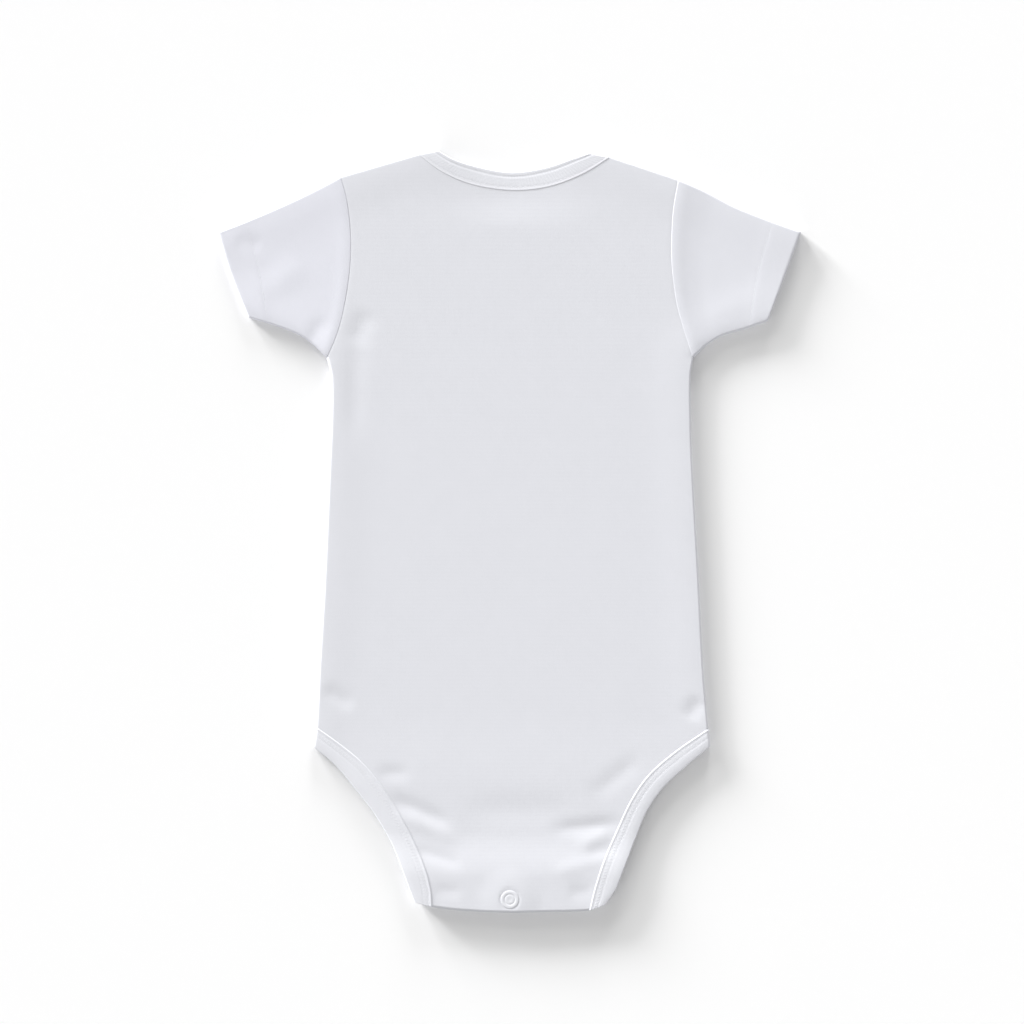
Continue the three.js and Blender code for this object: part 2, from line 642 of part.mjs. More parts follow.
function sleeve(name, side) {
  const levels = armholeLevels(side).reverse();
  const [under, top] = [curve(side.sleeveUnder), curve(side.sleeveTop)];
  const length = under.getLength();
  const hem = 1 - HEM_WIDTH / length;
  const shares = [
    0,
    ...SLEEVE_STEPS.map((step) => step / length),
    ...SLEEVE_SHARES.map((share) => lerp(SLEEVE_STEPS.at(-1) / length, hem, share)),
    hem,
    hem + HEM_TURN / length,
    (hem + 1) / 2,
    1,
  ];
  const hemRow = shares.length - 3;
  const last = levels.length - 1;
  const headX = levels.map(armholeX(side));
  const straight = levels.map((y) => (y - levels[0]) / (levels[last] - levels[0]));
  const headBow = headX.map((x, i) => x - lerp(headX[0], headX[last], straight[i]));
  const plan = (s) => {
    const [low, high] = [under.getPointAt(s), top.getPointAt(s)];
    const even = sleeveShares(levels.length, high.distanceTo(low));
    return levels.map((_, i) => {
      const c = lerp(straight[i], even[i], smooth(s / HEAD_SHARE));
      const cuffBow = side.bow * Math.sin(Math.PI * c) * s;
      const bow = side.sign * (cuffBow + HEAD_GAP * (1 - s)) + headBow[i] * (1 - s);
      return [lerp(low.x, high.x, c) + bow, lerp(low.y, high.y, c)];
    });
  };
  const rows = shares.map((s) => {
    const line = plan(s);
    const ridge = RIDGE.height * bell((s * length - RIDGE.centre) / RIDGE.width);
    const lean = ridge + side.tilt * s - side.fall * smooth(s * length / FALL_RUN);
    const over = line.map(([x, y], i) => {
      if (i === 0) return [x, y, SEAM_HEIGHT + SEAM_GAP / 2];
      if (i === last) return [x, y, SEAM_HEIGHT];
      return [x, y, backHeight(x, y) + lean * rollShare(foldDistance(x, y), 2 * ROLL)];
    });
    const lower = line.slice(0, -1).map(([x, y], i) => (
      [x, y, i === 0 ? SEAM_HEIGHT - SEAM_GAP / 2 : floorHeight(x, y, FLOOR_CLOTH)]));
    const ring = [...over, ...lower.reverse()];
    return side.sign < 0 ? ring.reverse() : ring;
  });
  const inside = (r) => CLOTH / 2 + (r >= hemRow ? HEM_EXTRA : 0);
  return sheet(name, [rows], WHITE.sleeve, CLOTH / 2, inside);
}

// Bindings: rows across the band, which start at a panel's own edge points, moved out by the gap
const ACROSS = [0.35, 0.7, 1];
function bandRow([ax, ay], [bx, by], height) {
  const width = Math.hypot(bx - ax, by - ay);
  return [SEAM_GAP / width, ...ACROSS].map((share) => {
    const [x, y] = [lerp(ax, bx, share), lerp(ay, by, share)];
    return [x, y, height(x, y)];
  });
}
function band(edge, free, height) {
  const line = curve(free);
  const runs = edge.map(([x, y], i) => {
    const [beforeX, beforeY] = edge[Math.max(i - 1, 0)];
    return Math.hypot(x - beforeX, y - beforeY);
  });
  const total = runs.reduce((sum, run) => sum + run, 0);
  let run = 0;
  return edge.map((point, i) => {
    run += runs[i];
    const p = line.getPointAt(Math.min(run / total, 1));
    return bandRow(point, [p.x, p.y], height);
  });
}

function backNeckBinding() {
  const level = NECK_BINDING / 2;
  const onFloor = (x, y) => floorHeight(x, y, level);
  const lapBand = (name) => {
    const side = SIDES[name];
    const free = [[side.neckCorner.freeX, side.neckCorner.freeY], ...side.lapFree];
    return band([...laps[name].at(-1)].reverse(), free, onFloor);
  };
  const top = band(backEdge.neckline, pairs(BACK_NECK, 'freeX', 'freeY'), backHeight);
  const rows = [...lapBand('left').reverse().slice(0, -1), ...top, ...lapBand('right').slice(1)];
  return sheet('neck_binding_back', [rows], WHITE.binding, level);
}

function frontNeckBinding() {
  const level = NECK_BINDING / 2;
  const edge = frontPlan.rows[0].slice(EDGE_STEPS.length, -EDGE_STEPS.length);
  const rows = band(edge, pairs(FRONT_NECK, 'freeX', 'freeY'), (x, y) => frontHeight(x, y, level));
  return sheet('neck_binding_front', [rows], WHITE.binding, level);
}

function legBinding(name, side, legs) {
  const level = LEG_BINDING / 2;
  const edgePoint = (row) => (side.sign < 0 ? row[0] : row.at(-1));
  const column = ({ rows, hipRow }) => rows.slice(hipRow).map(edgePoint);
  const back = band(column(backPlan), pairs(side.backLeg, 'freeX', 'freeY'), backHeight);
  const front = band(column(frontPlan), legs.free, (x, y) => frontHeight(x, y, level));
  const fold = front.at(-1).map(([x, y]) => [x, y]);
  const rows = [...back.reverse(), ...front.slice(1, -1), ...crotchRows(fold, level)];
  return sheet(name, [side.sign < 0 ? rows : rows.reverse()], WHITE.binding, level);
}

// Snap parts, turned about the snap's axis. Each profile is a table of radius and height.
function turned(name, base, profile) {
  const outline = profile.map(([radius, height]) => new THREE.Vector2(radius, height));
  const geometry = new THREE.LatheGeometry(outline, SNAP_SEGMENTS);
  geometry.rotateX(Math.PI / 2);
  geometry.translate(SNAP.x, SNAP.y, base);
  return named(name, geometry, WHITE.snap, SNAP_ROUGHNESS);
}

const backTop = SNAP_HEIGHT + CLOTH / 2;
const tongueTop = TONGUE_HEIGHT + CLOTH / 2;
const STUD_OVER_SOCKET = 0.5;
const snapParts = [
  turned('snap_cap_back', backTop + SNAP_GAP, [
    [0, 0], [4.5, 0], [4.75, 0.15], [4.65, 0.35], [4.1, 0.5], [3.3, 0.5], [2.75, 0.38],
    [2.65, 0.2], [2.4, 0.2], [2.2, 0.38], [1, 0.42], [0.6, 0.25], [0, 0.25],
  ]),
  turned('snap_stud', tongueTop + SNAP_GAP + STUD_OVER_SOCKET, [
    [0, -0.25], [1.3, -0.25], [1.5, -0.1], [1.5, 0.15], [4, 0.15], [4, 0.45], [0, 0.45],
  ]),
  turned('snap_socket', tongueTop + SNAP_GAP, [
    [1.9, 0], [4.2, 0], [4.3, 0.3], [3.6, 0.5], [1.9, 0.5], [1.9, 0],
  ]),
  turned('snap_cap_front', CLOTH + SNAP_GAP, [
    [0, 0], [3.7, 0], [4, 0.3], [3.7, 0.8], [0, 0.8],
  ]),
];

const garment = new THREE.Group();
garment.add(
  backPanel(),
  frontPanel(),
  sleeve('sleeve_left', SIDES.left),
  sleeve('sleeve_right', SIDES.right),
  backNeckBinding(),
  frontNeckBinding(),
  legBinding('leg_binding_left', SIDES.left, frontLegs.left),
  legBinding('leg_binding_right', SIDES.right, frontLegs.right),
  ...snapParts,
);

export default garment;
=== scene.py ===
"""A baby's short-sleeved bodysuit in white cotton, laid flat with its back up.

Lengths are millimetres until a mesh is made. +X is to the garment's right as it lies,
+Y runs from the crotch to the neck and +Z is up from the surface that it lies on.
"""

import math

import bpy
import numpy as np
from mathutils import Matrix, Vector


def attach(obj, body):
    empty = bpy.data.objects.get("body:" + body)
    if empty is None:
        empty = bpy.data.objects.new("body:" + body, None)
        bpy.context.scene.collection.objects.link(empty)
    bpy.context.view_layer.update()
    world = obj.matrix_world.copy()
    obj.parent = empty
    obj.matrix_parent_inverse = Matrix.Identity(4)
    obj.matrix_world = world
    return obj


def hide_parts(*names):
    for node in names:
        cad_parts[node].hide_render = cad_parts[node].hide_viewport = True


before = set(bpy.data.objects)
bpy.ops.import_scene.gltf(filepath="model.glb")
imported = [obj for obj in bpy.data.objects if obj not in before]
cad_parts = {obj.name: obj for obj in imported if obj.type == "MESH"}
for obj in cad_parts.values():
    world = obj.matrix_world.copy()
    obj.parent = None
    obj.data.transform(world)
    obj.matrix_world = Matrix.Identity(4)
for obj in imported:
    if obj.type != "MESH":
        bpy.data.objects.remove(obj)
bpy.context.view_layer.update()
MM = 0.001

# Walls, as in the solids
CLOTH = 1.2
LEG_BINDING = 1.8
NECK_BINDING = 1.4
HEM_WIDTH = 11
HEM_EXTRA = 0.6
SEAM_GAP = 0.04  # the sewn edges meet here, so the gap is only a fine groove

# Heights of the middle of a wall
FLOOR_CLOTH = CLOTH / 2
SEAM_HEIGHT = 2.45
ROLL_TOP = 4.3
BACK_REST = 4
CROTCH_TOP = 5.5
FRONT_OVER_LAP = 1.8
LAP_LIFT = {"reach": 24, "fade": 12, "side": 88, "side_fade": 14}
SEAT = {"lift": 0.3, "start": -95, "fade": 40}
NECK_SAG = {"depth": 0.5, "start": 158, "fade": 18, "half_width": 30}
TONGUE_HEIGHT = 3.3
SNAP_HEIGHT = 5.9

# Rolled edges and the crotch fold. Each fold turns over its own reach, and the cloth beside it
# falls a little towards it over a longer run.
ROLL = 3
ROLLS = {
    "shoulder": {"reach": 0.5, "fall": 0.02, "run": 3},
    "sleeve_top": {"reach": 0.5, "fall": 0.02, "run": 3},
    "sleeve_under": {"reach": 0.3, "fall": 0.2, "run": 5},
    "left": {"reach": 0.7, "fall": 0.03, "run": 5},
    "right": {"reach": 0.2, "fall": 0.03, "run": 4},
}
FOLD_INSIDE = {"least": 0.2, "reach": 1.2}  # the wall's inner half is thinner inside a tight fold
ROLL_CREST = 4
ROLL_FADE = 12
CROTCH_ROLL = 1.2
CROTCH_INSET = 1.4
CROTCH_RISE = {"start": -158, "end": -182}
TONGUE_LENGTH = 14

SNAP = {"x": 0, "y": -193.3, "plateau": 5.5, "fade": 13, "clear": 12}
SNAP_SEAT = {"depth": 0.14, "start": -0.6, "run": 1.2}
SNAP_GAP = 0.2

# Spacing of the points in the meshes
OPEN_STEP = 1.8
ROLL_STEPS = [0, 0.03, 0.1, 0.22, 0.4, 0.65, 1, 1.6, 2.3, ROLL]
EDGE_STEPS = [*ROLL_STEPS, 4, 5.4, 7, 8.6, 10, 12, 14, 16, 18, 20, 22]
LAP_STEPS = [*EDGE_STEPS, 25, 28, 31, 34, 37, 40, 43, 46]
TURN_STEPS = [0.3, 0.9, 1.9, 3.4]
UNDERARM_STEPS = [8, 6.4, 4.8, 3.4, 2.3, 1.5, 0.95, 0.6, 0.35, 0.17, 0.05, 0]
CROTCH_STEPS = [0.04, 0.16, 0.35, 0.6, 0.9, CROTCH_ROLL]


def table(names, rows):
    """A table's columns by name."""
    return dict(zip(names.split(), np.array(rows, float).T))


# Armhole seams, from the shoulder tip to the underarm
ARMHOLE = table(
    "left_x left_y right_x right_y",
    [
        (-88.6, 185.6, 88.3, 184.1),
        (-85.4, 173.7, 85.6, 168),
        (-83.4, 155, 84.7, 150.5),
        (-83.9, 136.9, 85.1, 137),
        (-87.1, 116.1, 87.6, 119),
        (-90.7, 102.8, 91.3, 105.5),
        (-95.6, 91.2, 95.9, 91.2),
    ],
)

# Folded body sides, from the underarm to the leg binding's edge
SIDE = table(
    "y left right",
    [
        (91.2, -95.6, 95.9),
        (82, -93.4, 94.4),
        (61, -93.2, 94.4),
        (35, -94.3, 95.2),
        (-28, -97.1, 98.7),
        (-70, -99.6, 100.8),
        (-103, -101.3, 103.5),
        (-113.5, -102.8, 104.6),
    ],
)

# Sleeve edges from the body to the cuff: the shoulder fold, and the underarm seam
SLEEVE_TOP = table(
    "left_x left_y right_x right_y",
    [
        (-88.6, 185.6, 88.3, 184.1),
        (-104, 177.4, 102.5, 177.7),
        (-121, 169.4, 116.7, 170.3),
        (-138.3, 162, 135, 163),
        (-152.7, 156.4, 152.8, 156.7),
    ],
)
SLEEVE_UNDER = table(
    "left_x left_y right_x right_y",
    [
        (-95.6, 91.2, 95.9, 91.2),
        (-103.4, 98.5, 103.7, 98.3),
        (-110.1, 103.1, 111, 102.6),
        (-122.7, 108.1, 124, 106.5),
        (-137, 112.4, 135.5, 110.6),
    ],
)
CUFF_BOW = {"left": 1.2, "right": 0.2}
SLEEVE_TILT = {"left": -0.7, "right": 0.8}
SLEEVE_FALL = {"left": 0, "right": 0.5}
FALL_RUN = 14

# Back neckline seam and the free edge of its binding
BACK_NECK = table(
    "x y free_x free_y",
    [
        (-47.9, 197.4, -37.5, 199.4),
        (-36.6, 188.9, -29.5, 195),
        (-20.9, 182, -16.5, 191),
        (1.2, 178.6, 1, 188.2),
        (21.1, 180.7, 18.5, 190.6),
        (39.5, 187.8, 33, 195.3),
        (52.6, 196, 41.5, 198),
    ],
)

# Bound edge of the shoulder laps, on the underside
LAP = table(
    "y left right free_y free_left free_right",
    [
        (184, -52.5, 57, 181.5, -44.5, 49),
        (170, -60, 64.2, 166.5, -52.6, 56.6),
        (155, -70.5, 73.8, 150, -64.2, 67),
        (139.5, -83.9, 85, 127, -85.2, 86),
    ],
)

# Front neckline seam and the free edge of its binding
FRONT_NECK = table(
    "x y free_x free_y",
    [
        (-57.5, 186.5, -49.5, 189),
        (-53.5, 170, -45, 172.5),
        (-36, 151, -31, 157.5),
        (0, 141.5, 0, 149.5),
        (38, 151, 33, 157.5),
        (56.5, 170, 48, 172.5),
        (61.5, 185.5, 53.5, 188),
    ],
)

# Leg bindings on the back: the seam and the outer edge, from the hip to the bottom
BACK_LEG = {
    "left": table(
        "x y free_x free_y",
        [
            (-101.3, -103.3, -102.8, -113.5),
            (-88.5, -112.5, -91.5, -123),
            (-77.3, -121.9, -80.5, -136.2),
            (-65.1, -137.1, -71.5, -147.8),
            (-53.9, -155.8, -62.5, -163),
            (-45.5, -174.4, -56, -179),
            (-41.6, -188, -51.3, -191.4),
            (-41, -197.2, -49.7, -194.9),
        ],
    ),
    "right": table(
        "x y free_x free_y",
        [
            (103.5, -104.5, 104.6, -113.5),
            (87.5, -115.5, 92, -124),
            (73.4, -127.7, 80.5, -134.8),
            (64.1, -140.8, 72.4, -146.4),
            (56.6, -156.6, 66, -161.5),
            (50, -171.8, 60.5, -175.8),
            (45.3, -185.8, 55.6, -188),
            (42, -199, 50, -196.2),
        ],
    ),
}

# Leg bindings on the front, as shares of the half width at the hip
FRONT_LEG = table(
    "x y free_x free_y",
    [
        (0.985, -103.3, 1, -113.5),
        (0.861, -108.3, 0.893, -117.8),
        (0.739, -115, 0.783, -124),
        (0.614, -125.5, 0.677, -133),
        (0.519, -138, 0.597, -144),
        (0.453, -151, 0.54, -155.5),
        (0.413, -165, 0.502, -168.5),
        (0.393, -180, 0.4785, -182),
        (0.3865, -194, 0.47, -194),
    ],
)

HEM_LINE = table(
    "x y",
    [
        (-49.7, -194.9),
        (-41, -197.2),
        (-25.6, -199.1),
        (-0.4, -200.2),
        (20.6, -199.8),
        (42, -199),
        (50, -196.2),
    ],
)

# Soft folds in the upper cloth. Angle in degrees from +X, width is half of the fold's width.
FOLDS = table(
    "x y length angle width height",
    [
        (-60.8, -127.2, 14, 0, 3.8, -0.27),
        (-46.9, -146.9, 30, -25, 4.2, -0.51),
        (-42.7, -155.6, 30, -28, 4.2, 0.34),
        (-37.9, -170.8, 22, -20, 3.6, -0.38),
        (-32.4, -189, 12, -8, 3.4, -0.22),
        (-90, -87.3, 15, -32, 4.2, -0.34),
        (96.6, -93.5, 11, 60, 4.4, -0.45),
        (55.8, -129.3, 28, 38, 5, -0.27),
        (40.6, -155, 32, 5, 3.8, -0.45),
        (44, -162, 16, 24, 3.6, 0.27),
        (48.2, -168, 13, 15, 3.4, -0.22),
        (36.9, -175.5, 24, 14, 3.8, 0.22),
        (36.9, -189.5, 11, 0, 4.2, -0.27),
        (5.4, -147, 52, 0, 8, -0.27),
        (-78.1, 106.4, 16, 70, 5.5, -0.34),
        (-81.2, 76, 52, 88, 5.5, -0.27),
        (-101.5, 104.5, 14, 60, 4, -0.27),
        (-136.5, 151, 12, -20, 4.5, -0.22),
        (-119, 132, 26, 35, 7, 0.22),
        (94, 140, 44, 95, 6, -0.06),
        (118, 118, 34, 25, 7, 0.15),
    ],
)


def lerp(a, b, t):
    return a + (b - a) * t


def smooth(value):
    t = np.clip(value, 0, 1)
    return t * t * (3 - 2 * t)


def bell(value):
    return np.exp(-(value**2))


def steps_to(total, step):
    """Even steps from 0 to a total, each about one step long."""
    return np.linspace(0, total, max(2, round(total / step) + 1))


def follow(at, value):
    """A smooth function through a table's values."""
    order = np.argsort(at)
    at, value = at[order], value[order]
    last = len(at) - 1
    places = np.arange(last + 1)
    before, after = np.maximum(places - 1, 0), np.minimum(places + 1, last)
    slope = (value[after] - value[before]) / (at[after] - at[before])

    def read(x):
        x = np.clip(x, at[0], at[-1])
        i = np.clip(np.searchsorted(at, x), 1, last)
        span = at[i] - at[i - 1]
        t = (x - at[i - 1]) / span
        swell = t * (1 - t) * span
        straight = lerp(value[i - 1], value[i], t * t * (3 - 2 * t))
        return straight + swell * ((1 - t) * slope[i - 1] - t * slope[i])

    return read


class Line:
    """A polyline that is read by the share of its length."""

    def __init__(self, points):
        self.points = np.asarray(points, float)
        runs = np.linalg.norm(np.diff(self.points, axis=0), axis=1)
        self.runs = np.concatenate([[0], np.cumsum(runs)])
        self.length = self.runs[-1]

    def at(self, share):
        run = np.asarray(share) * self.length
        return np.stack([np.interp(run, self.runs, c) for c in self.points.T], axis=-1)


class Curve(Line):
    """A centripetal Catmull-Rom curve through points."""

    PIECES = 40

    def __init__(self, points):
        p = np.asarray(points, float)
        p = np.vstack([2 * p[0] - p[1], p, 2 * p[-1] - p[-2]])
        step = np.diff(p, axis=0)
        gap = np.sqrt(np.linalg.norm(step, axis=1, keepdims=True))
        rate = step / gap
        tangent = rate[:-1] + rate[1:] - (p[2:] - p[:-2]) / (gap[:-1] + gap[1:])
        t = np.linspace(0, 1, self.PIECES, endpoint=False)[:, None]
        swell = t * (1 - t)
        sampled = []
        for i in range(len(p) - 3):
            start, end = p[i + 1], p[i + 2]
            pull = (1 - t) * tangent[i] * gap[i + 1] - t * tangent[i + 1] * gap[i + 1]
            bend = swell * (pull - (1 - 2 * t) * (end - start))
            sampled.append(lerp(start, end, t) + bend)
        super().__init__(np.vstack([*sampled, p[-2:-1]]))


def stack(x, y):
    return np.stack([x, y], axis=-1)


def side_of(name, sign):
    """Everything that the left or right of the garment is made from."""
    edge = follow(SIDE["y"], SIDE[name])
    armhole = stack(ARMHOLE[f"{name}_x"], ARMHOLE[f"{name}_y"])
    leg = BACK_LEG[name]
    corner = 0 if sign < 0 else -1
    return {
        "name": name,
        "sign": sign,
        "edge": edge,
        "tip": armhole[0],
        "underarm": armhole[-1],
        "hip": np.array([SIDE[name][-1], SIDE["y"][-1]]),
        "armhole": follow(armhole[:, 1], armhole[:, 0]),
        "top": Curve(stack(SLEEVE_TOP[f"{name}_x"], SLEEVE_TOP[f"{name}_y"])),
        "under": Curve(stack(SLEEVE_UNDER[f"{name}_x"], SLEEVE_UNDER[f"{name}_y"])),
        "bow": CUFF_BOW[name],
        "tilt": SLEEVE_TILT[name],
        "fall": SLEEVE_FALL[name],
        "leg": stack(leg["x"], leg["y"]),
        "leg_free": stack(leg["free_x"], leg["free_y"]),
        "corner": np.array([BACK_NECK["x"][corner], BACK_NECK["y"][corner]]),
        "corner_free": np.array([BACK_NECK["free_x"][corner], BACK_NECK["free_y"][corner]]),
        "lap": stack(LAP[name], LAP["y"]),
        "lap_free": stack(LAP[f"free_{name}"], LAP["free_y"]),
    }


LEFT = side_of("left", -1)
RIGHT = side_of("right", 1)
SIDES = [LEFT, RIGHT]

# The lines along which the garment is folded flat or sewn at a rolled edge
LINE_PIECES = 60


def fold_lines(side):
    levels = np.linspace(side["underarm"][1], side["hip"][1], LINE_PIECES + 1)
    shares = np.linspace(0, 1, LINE_PIECES + 1)
    return [
        np.array([side["corner_free"], side["corner"], side["tip"]]),
        side["top"].at(shares),
        side["under"].at(shares),
        stack(side["edge"](levels), levels),
    ]


FOLD_LINES = [line for side in SIDES for line in fold_lines(side)]
FOLD_ROLLS = [
    ROLLS[name]
    for side in SIDES
    for name in ("shoulder", "sleeve_top", "sleeve_under", side["name"])
]
ARMHOLE_LINES = [
    Curve(stack(ARMHOLE[f"{side['name']}_x"], ARMHOLE[f"{side['name']}_y"])).points
    for side in SIDES
]


def distance_to(lines, x, y):
    """Distance of each point from the nearest point of each polyline, line by line."""
    found = []
    for line in lines:
        nearest = np.full(np.shape(x), np.inf)
        for (ax, ay), (bx, by) in zip(line[:-1], line[1:]):
            dx, dy = bx - ax, by - ay
            along = (x - ax) * dx + (y - ay) * dy
            t = np.clip(along / (dx * dx + dy * dy), 0, 1)
            nearest = np.minimum(nearest, np.hypot(x - ax - t * dx, y - ay - t * dy))
        found.append(nearest)
    return np.array(found)


def quarter(distance, reach):
    """Share of a roll's height: a quarter of an ellipse."""
    t = 1 - np.clip(distance / reach, 0, 1)
    return np.sqrt(1 - t * t)


def roll_shares(x, y, spread=1):
    """Share of the height over the folds that a point has, and its distance from the nearest."""
    distances = distance_to(FOLD_LINES, x, y)
    reach = spread * by_fold("reach", distances)
    return quarter(np.min(distances / reach, axis=0), 1), np.min(distances, axis=0)


def by_fold(key, distances):
    """A measure of each fold's roll, shaped to work with distances from all the folds."""
    values = np.array([roll[key] for roll in FOLD_ROLLS])
    return values.reshape(-1, *[1] * (distances.ndim - 1))


def fold_fall(x, y):
    distances = distance_to(FOLD_LINES, x, y)
    near = 1 - np.clip(distances / by_fold("run", distances), 0, 1)
    return np.max(by_fold("fall", distances) * near**2, axis=0)


def inside_fold(points, reach):
    """The wall's inner reach at points in its middle."""
    distance = np.min(distance_to(FOLD_LINES, points[..., 0], points[..., 1]), axis=0)
    share = np.clip(distance / FOLD_INSIDE["reach"], 0, 1)
    return reach * lerp(FOLD_INSIDE["least"], 1, share)


def lap_cover(x, y):
    """1 over a shoulder lap, fading to 0 below its bound edge and along the sleeve."""
    total = np.zeros(np.shape(x))
    for side in SIDES:
        start, end = side["corner_free"], side["lap_free"][-1]
        length = np.hypot(*(end - start))
        across = (x - start[0]) * (end[1] - start[1]) - (y - start[1]) * (end[0] - start[0])
        below = across / length * side["sign"]
        beyond = (np.abs(x) - LAP_LIFT["side"]) / LAP_LIFT["side_fade"]
        cover = smooth((LAP_LIFT["reach"] - below) / LAP_LIFT["fade"]) * smooth(1 - beyond)
        total = np.where(x * side["sign"] >= 0, cover, total)
    return total


def fold_relief(x, y):
    total = np.zeros(np.shape(x))
    for fx, fy, length, angle, width, height in zip(*FOLDS.values()):
        turn = math.radians(angle)
        dx, dy = x - fx, y - fy
        along = (dx * math.cos(turn) + dy * math.sin(turn)) / (length / 2)
        across = (dy * math.cos(turn) - dx * math.sin(turn)) / width
        total += height * bell(across) * bell(along**2)
    return total


def back_height(x, y):
    """Height of the upper layer: back, sleeve tops and the bindings that show."""
    rolled, distance = roll_shares(x, y)
    crotch = smooth((CROTCH_RISE["start"] - y) / (CROTCH_RISE["start"] - CROTCH_RISE["end"]))
    seat = SEAT["lift"] * smooth((SEAT["start"] - y) / SEAT["fade"])
    crest = bell(np.maximum(distance - ROLL_CREST, 0) / ROLL_FADE)
    cloth = lerp(lerp(BACK_REST + seat, ROLL_TOP, crest), CROTCH_TOP, crotch)
    neck = smooth((y - NECK_SAG["start"]) / NECK_SAG["fade"]) * bell(x / NECK_SAG["half_width"])
    from_snap = np.hypot(x - SNAP["x"], y - SNAP["y"]) - SNAP["plateau"]
    over_snap = (SNAP_HEIGHT - CROTCH_TOP) * smooth(1 - from_snap / SNAP["fade"])
    over_snap += SNAP_SEAT["depth"] * (smooth((from_snap - SNAP_SEAT["start"]) / SNAP_SEAT["run"]) - 1)
    folds = fold_relief(x, y) * smooth(from_snap / SNAP["clear"])
    level = cloth + folds + over_snap - NECK_SAG["depth"] * neck - fold_fall(x, y)
    return lerp(SEAM_HEIGHT, level, rolled)


hem_y = follow(HEM_LINE["x"], HEM_LINE["y"])


def crotch_fold(x):
    return hem_y(x) + CROTCH_INSET


def floor_height(x, y, level):
    return lerp(SEAM_HEIGHT, level, roll_shares(x, y)[0])


def front_height(x, y, level):
    lifted = floor_height(x, y, level + FRONT_OVER_LAP * lap_cover(x, y))
    middle = (level + TONGUE_HEIGHT) / 2
    return lerp(middle, lifted, quarter(y - crotch_fold(x), CROTCH_ROLL))


def tongue_height(x, y, level):
    middle = (level + TONGUE_HEIGHT) / 2
    return lerp(middle, TONGUE_HEIGHT, quarter(y - crotch_fold(x), CROTCH_ROLL))


def armhole_levels(side):
    """Levels of the rows between the shoulder tip and the underarm."""
    top, bottom = side["tip"][1], side["underarm"][1]
    near = top - np.array(LAP_STEPS)
    far = bottom + np.array(UNDERARM_STEPS)
    between = np.linspace(near[-1], far[0], round((near[-1] - far[0]) / OPEN_STEP) + 1)
    return np.concatenate([near, between[1:-1], far])


def panel_plan(first_step, top_edge, legs, leg_steps, bottom):
    """Rows of x and y from a panel's top edge to its bottom edge, as the solid's are laid out."""
    first = LAP_STEPS.index(first_step)
    hips = [leg[0][1] for leg in legs]
    body_count = round((LEFT["underarm"][1] - hips[0]) / OPEN_STEP)
    body = np.arange(1, body_count + 1) / body_count
    leg_count = round((hips[0] - legs[0][-1][1]) / OPEN_STEP * 1.25)
    leg_shares = np.arange(1, leg_count + 1) / leg_count
    levels, edges = [], []
    for side, leg, hip in zip(SIDES, legs, hips):
        armhole = armhole_levels(side)[first:]
        leg_top = hip - leg_steps[-1]
        rows = [
            armhole,
            lerp(armhole[-1], hip, body),
            hip - np.array(leg_steps),
            lerp(leg_top, leg[-1][1], leg_shares),
        ]
        levels.append(np.concatenate(rows))
        leg_x = follow(leg[:, 1], leg[:, 0])
        edge = [
            side["armhole"](armhole),
            side["edge"](rows[1]),
            leg_x(rows[2]),
            leg_x(rows[3]),
        ]
        edges.append(np.concatenate(edge))
    shares = np.concatenate([np.zeros(len(levels[0]) - leg_count), leg_shares])
    near = np.array(EDGE_STEPS)
    inset = near[-1]
    tips = [np.array([edge[0], level[0]]) for edge, level in zip(edges, levels)]
    top_share = (top_edge[:, 0] - tips[0][0] - inset) / (tips[1][0] - tips[0][0] - 2 * inset)
    even_share = np.arange(1, len(top_edge) + 1) / (len(top_edge) + 1)

    def columns(left, right, evenness):
        share = lerp(top_share, even_share, evenness)
        middle = lerp(left + inset, right - inset, share)
        return np.concatenate([left + near, middle, (right - near)[::-1]])

    start = columns(tips[0][0], tips[1][0], 0)
    outline = np.vstack([tips[0], top_edge, tips[1]])
    start_share = (start - tips[0][0]) / (tips[1][0] - tips[0][0])
    straight = lerp(tips[0][1], tips[1][1], start_share)
    rise = np.interp(start, outline[:, 0], outline[:, 1]) - straight
    yoke = levels[0][0] - inset
    plan = []
    for r, (left_y, right_y) in enumerate(zip(*levels)):
        left, right = edges[0][r], edges[1][r]
        evenness = smooth((yoke - left_y) / (yoke - LEFT["underarm"][1]))
        hem = smooth((shares[r] - HEM_SHARE) / (1 - HEM_SHARE))
        x = columns(left, right, evenness)
        share = (x - left) / (right - left)
        drop = bottom(x) - lerp(bottom(left), bottom(right), share)
        y = lerp(left_y, right_y, share) + (1 - evenness) * rise + hem * drop
        plan.append(stack(x, y))
    underarm = len(armhole_levels(LEFT)) - first - 1
    return {"xy": np.array(plan), "underarm": underarm, "hip": underarm + body_count}


def raised(plan, height, seam_height):
    """A plan with heights. Along the side seams the wall ends at the seam."""
    xy = plan["xy"]
    z = height(xy[..., 0], xy[..., 1])
    seam = slice(plan["underarm"], plan["hip"] + 1)
    z[seam, 0] = seam_height
    z[seam, -1] = seam_height
    return np.dstack([xy, z])


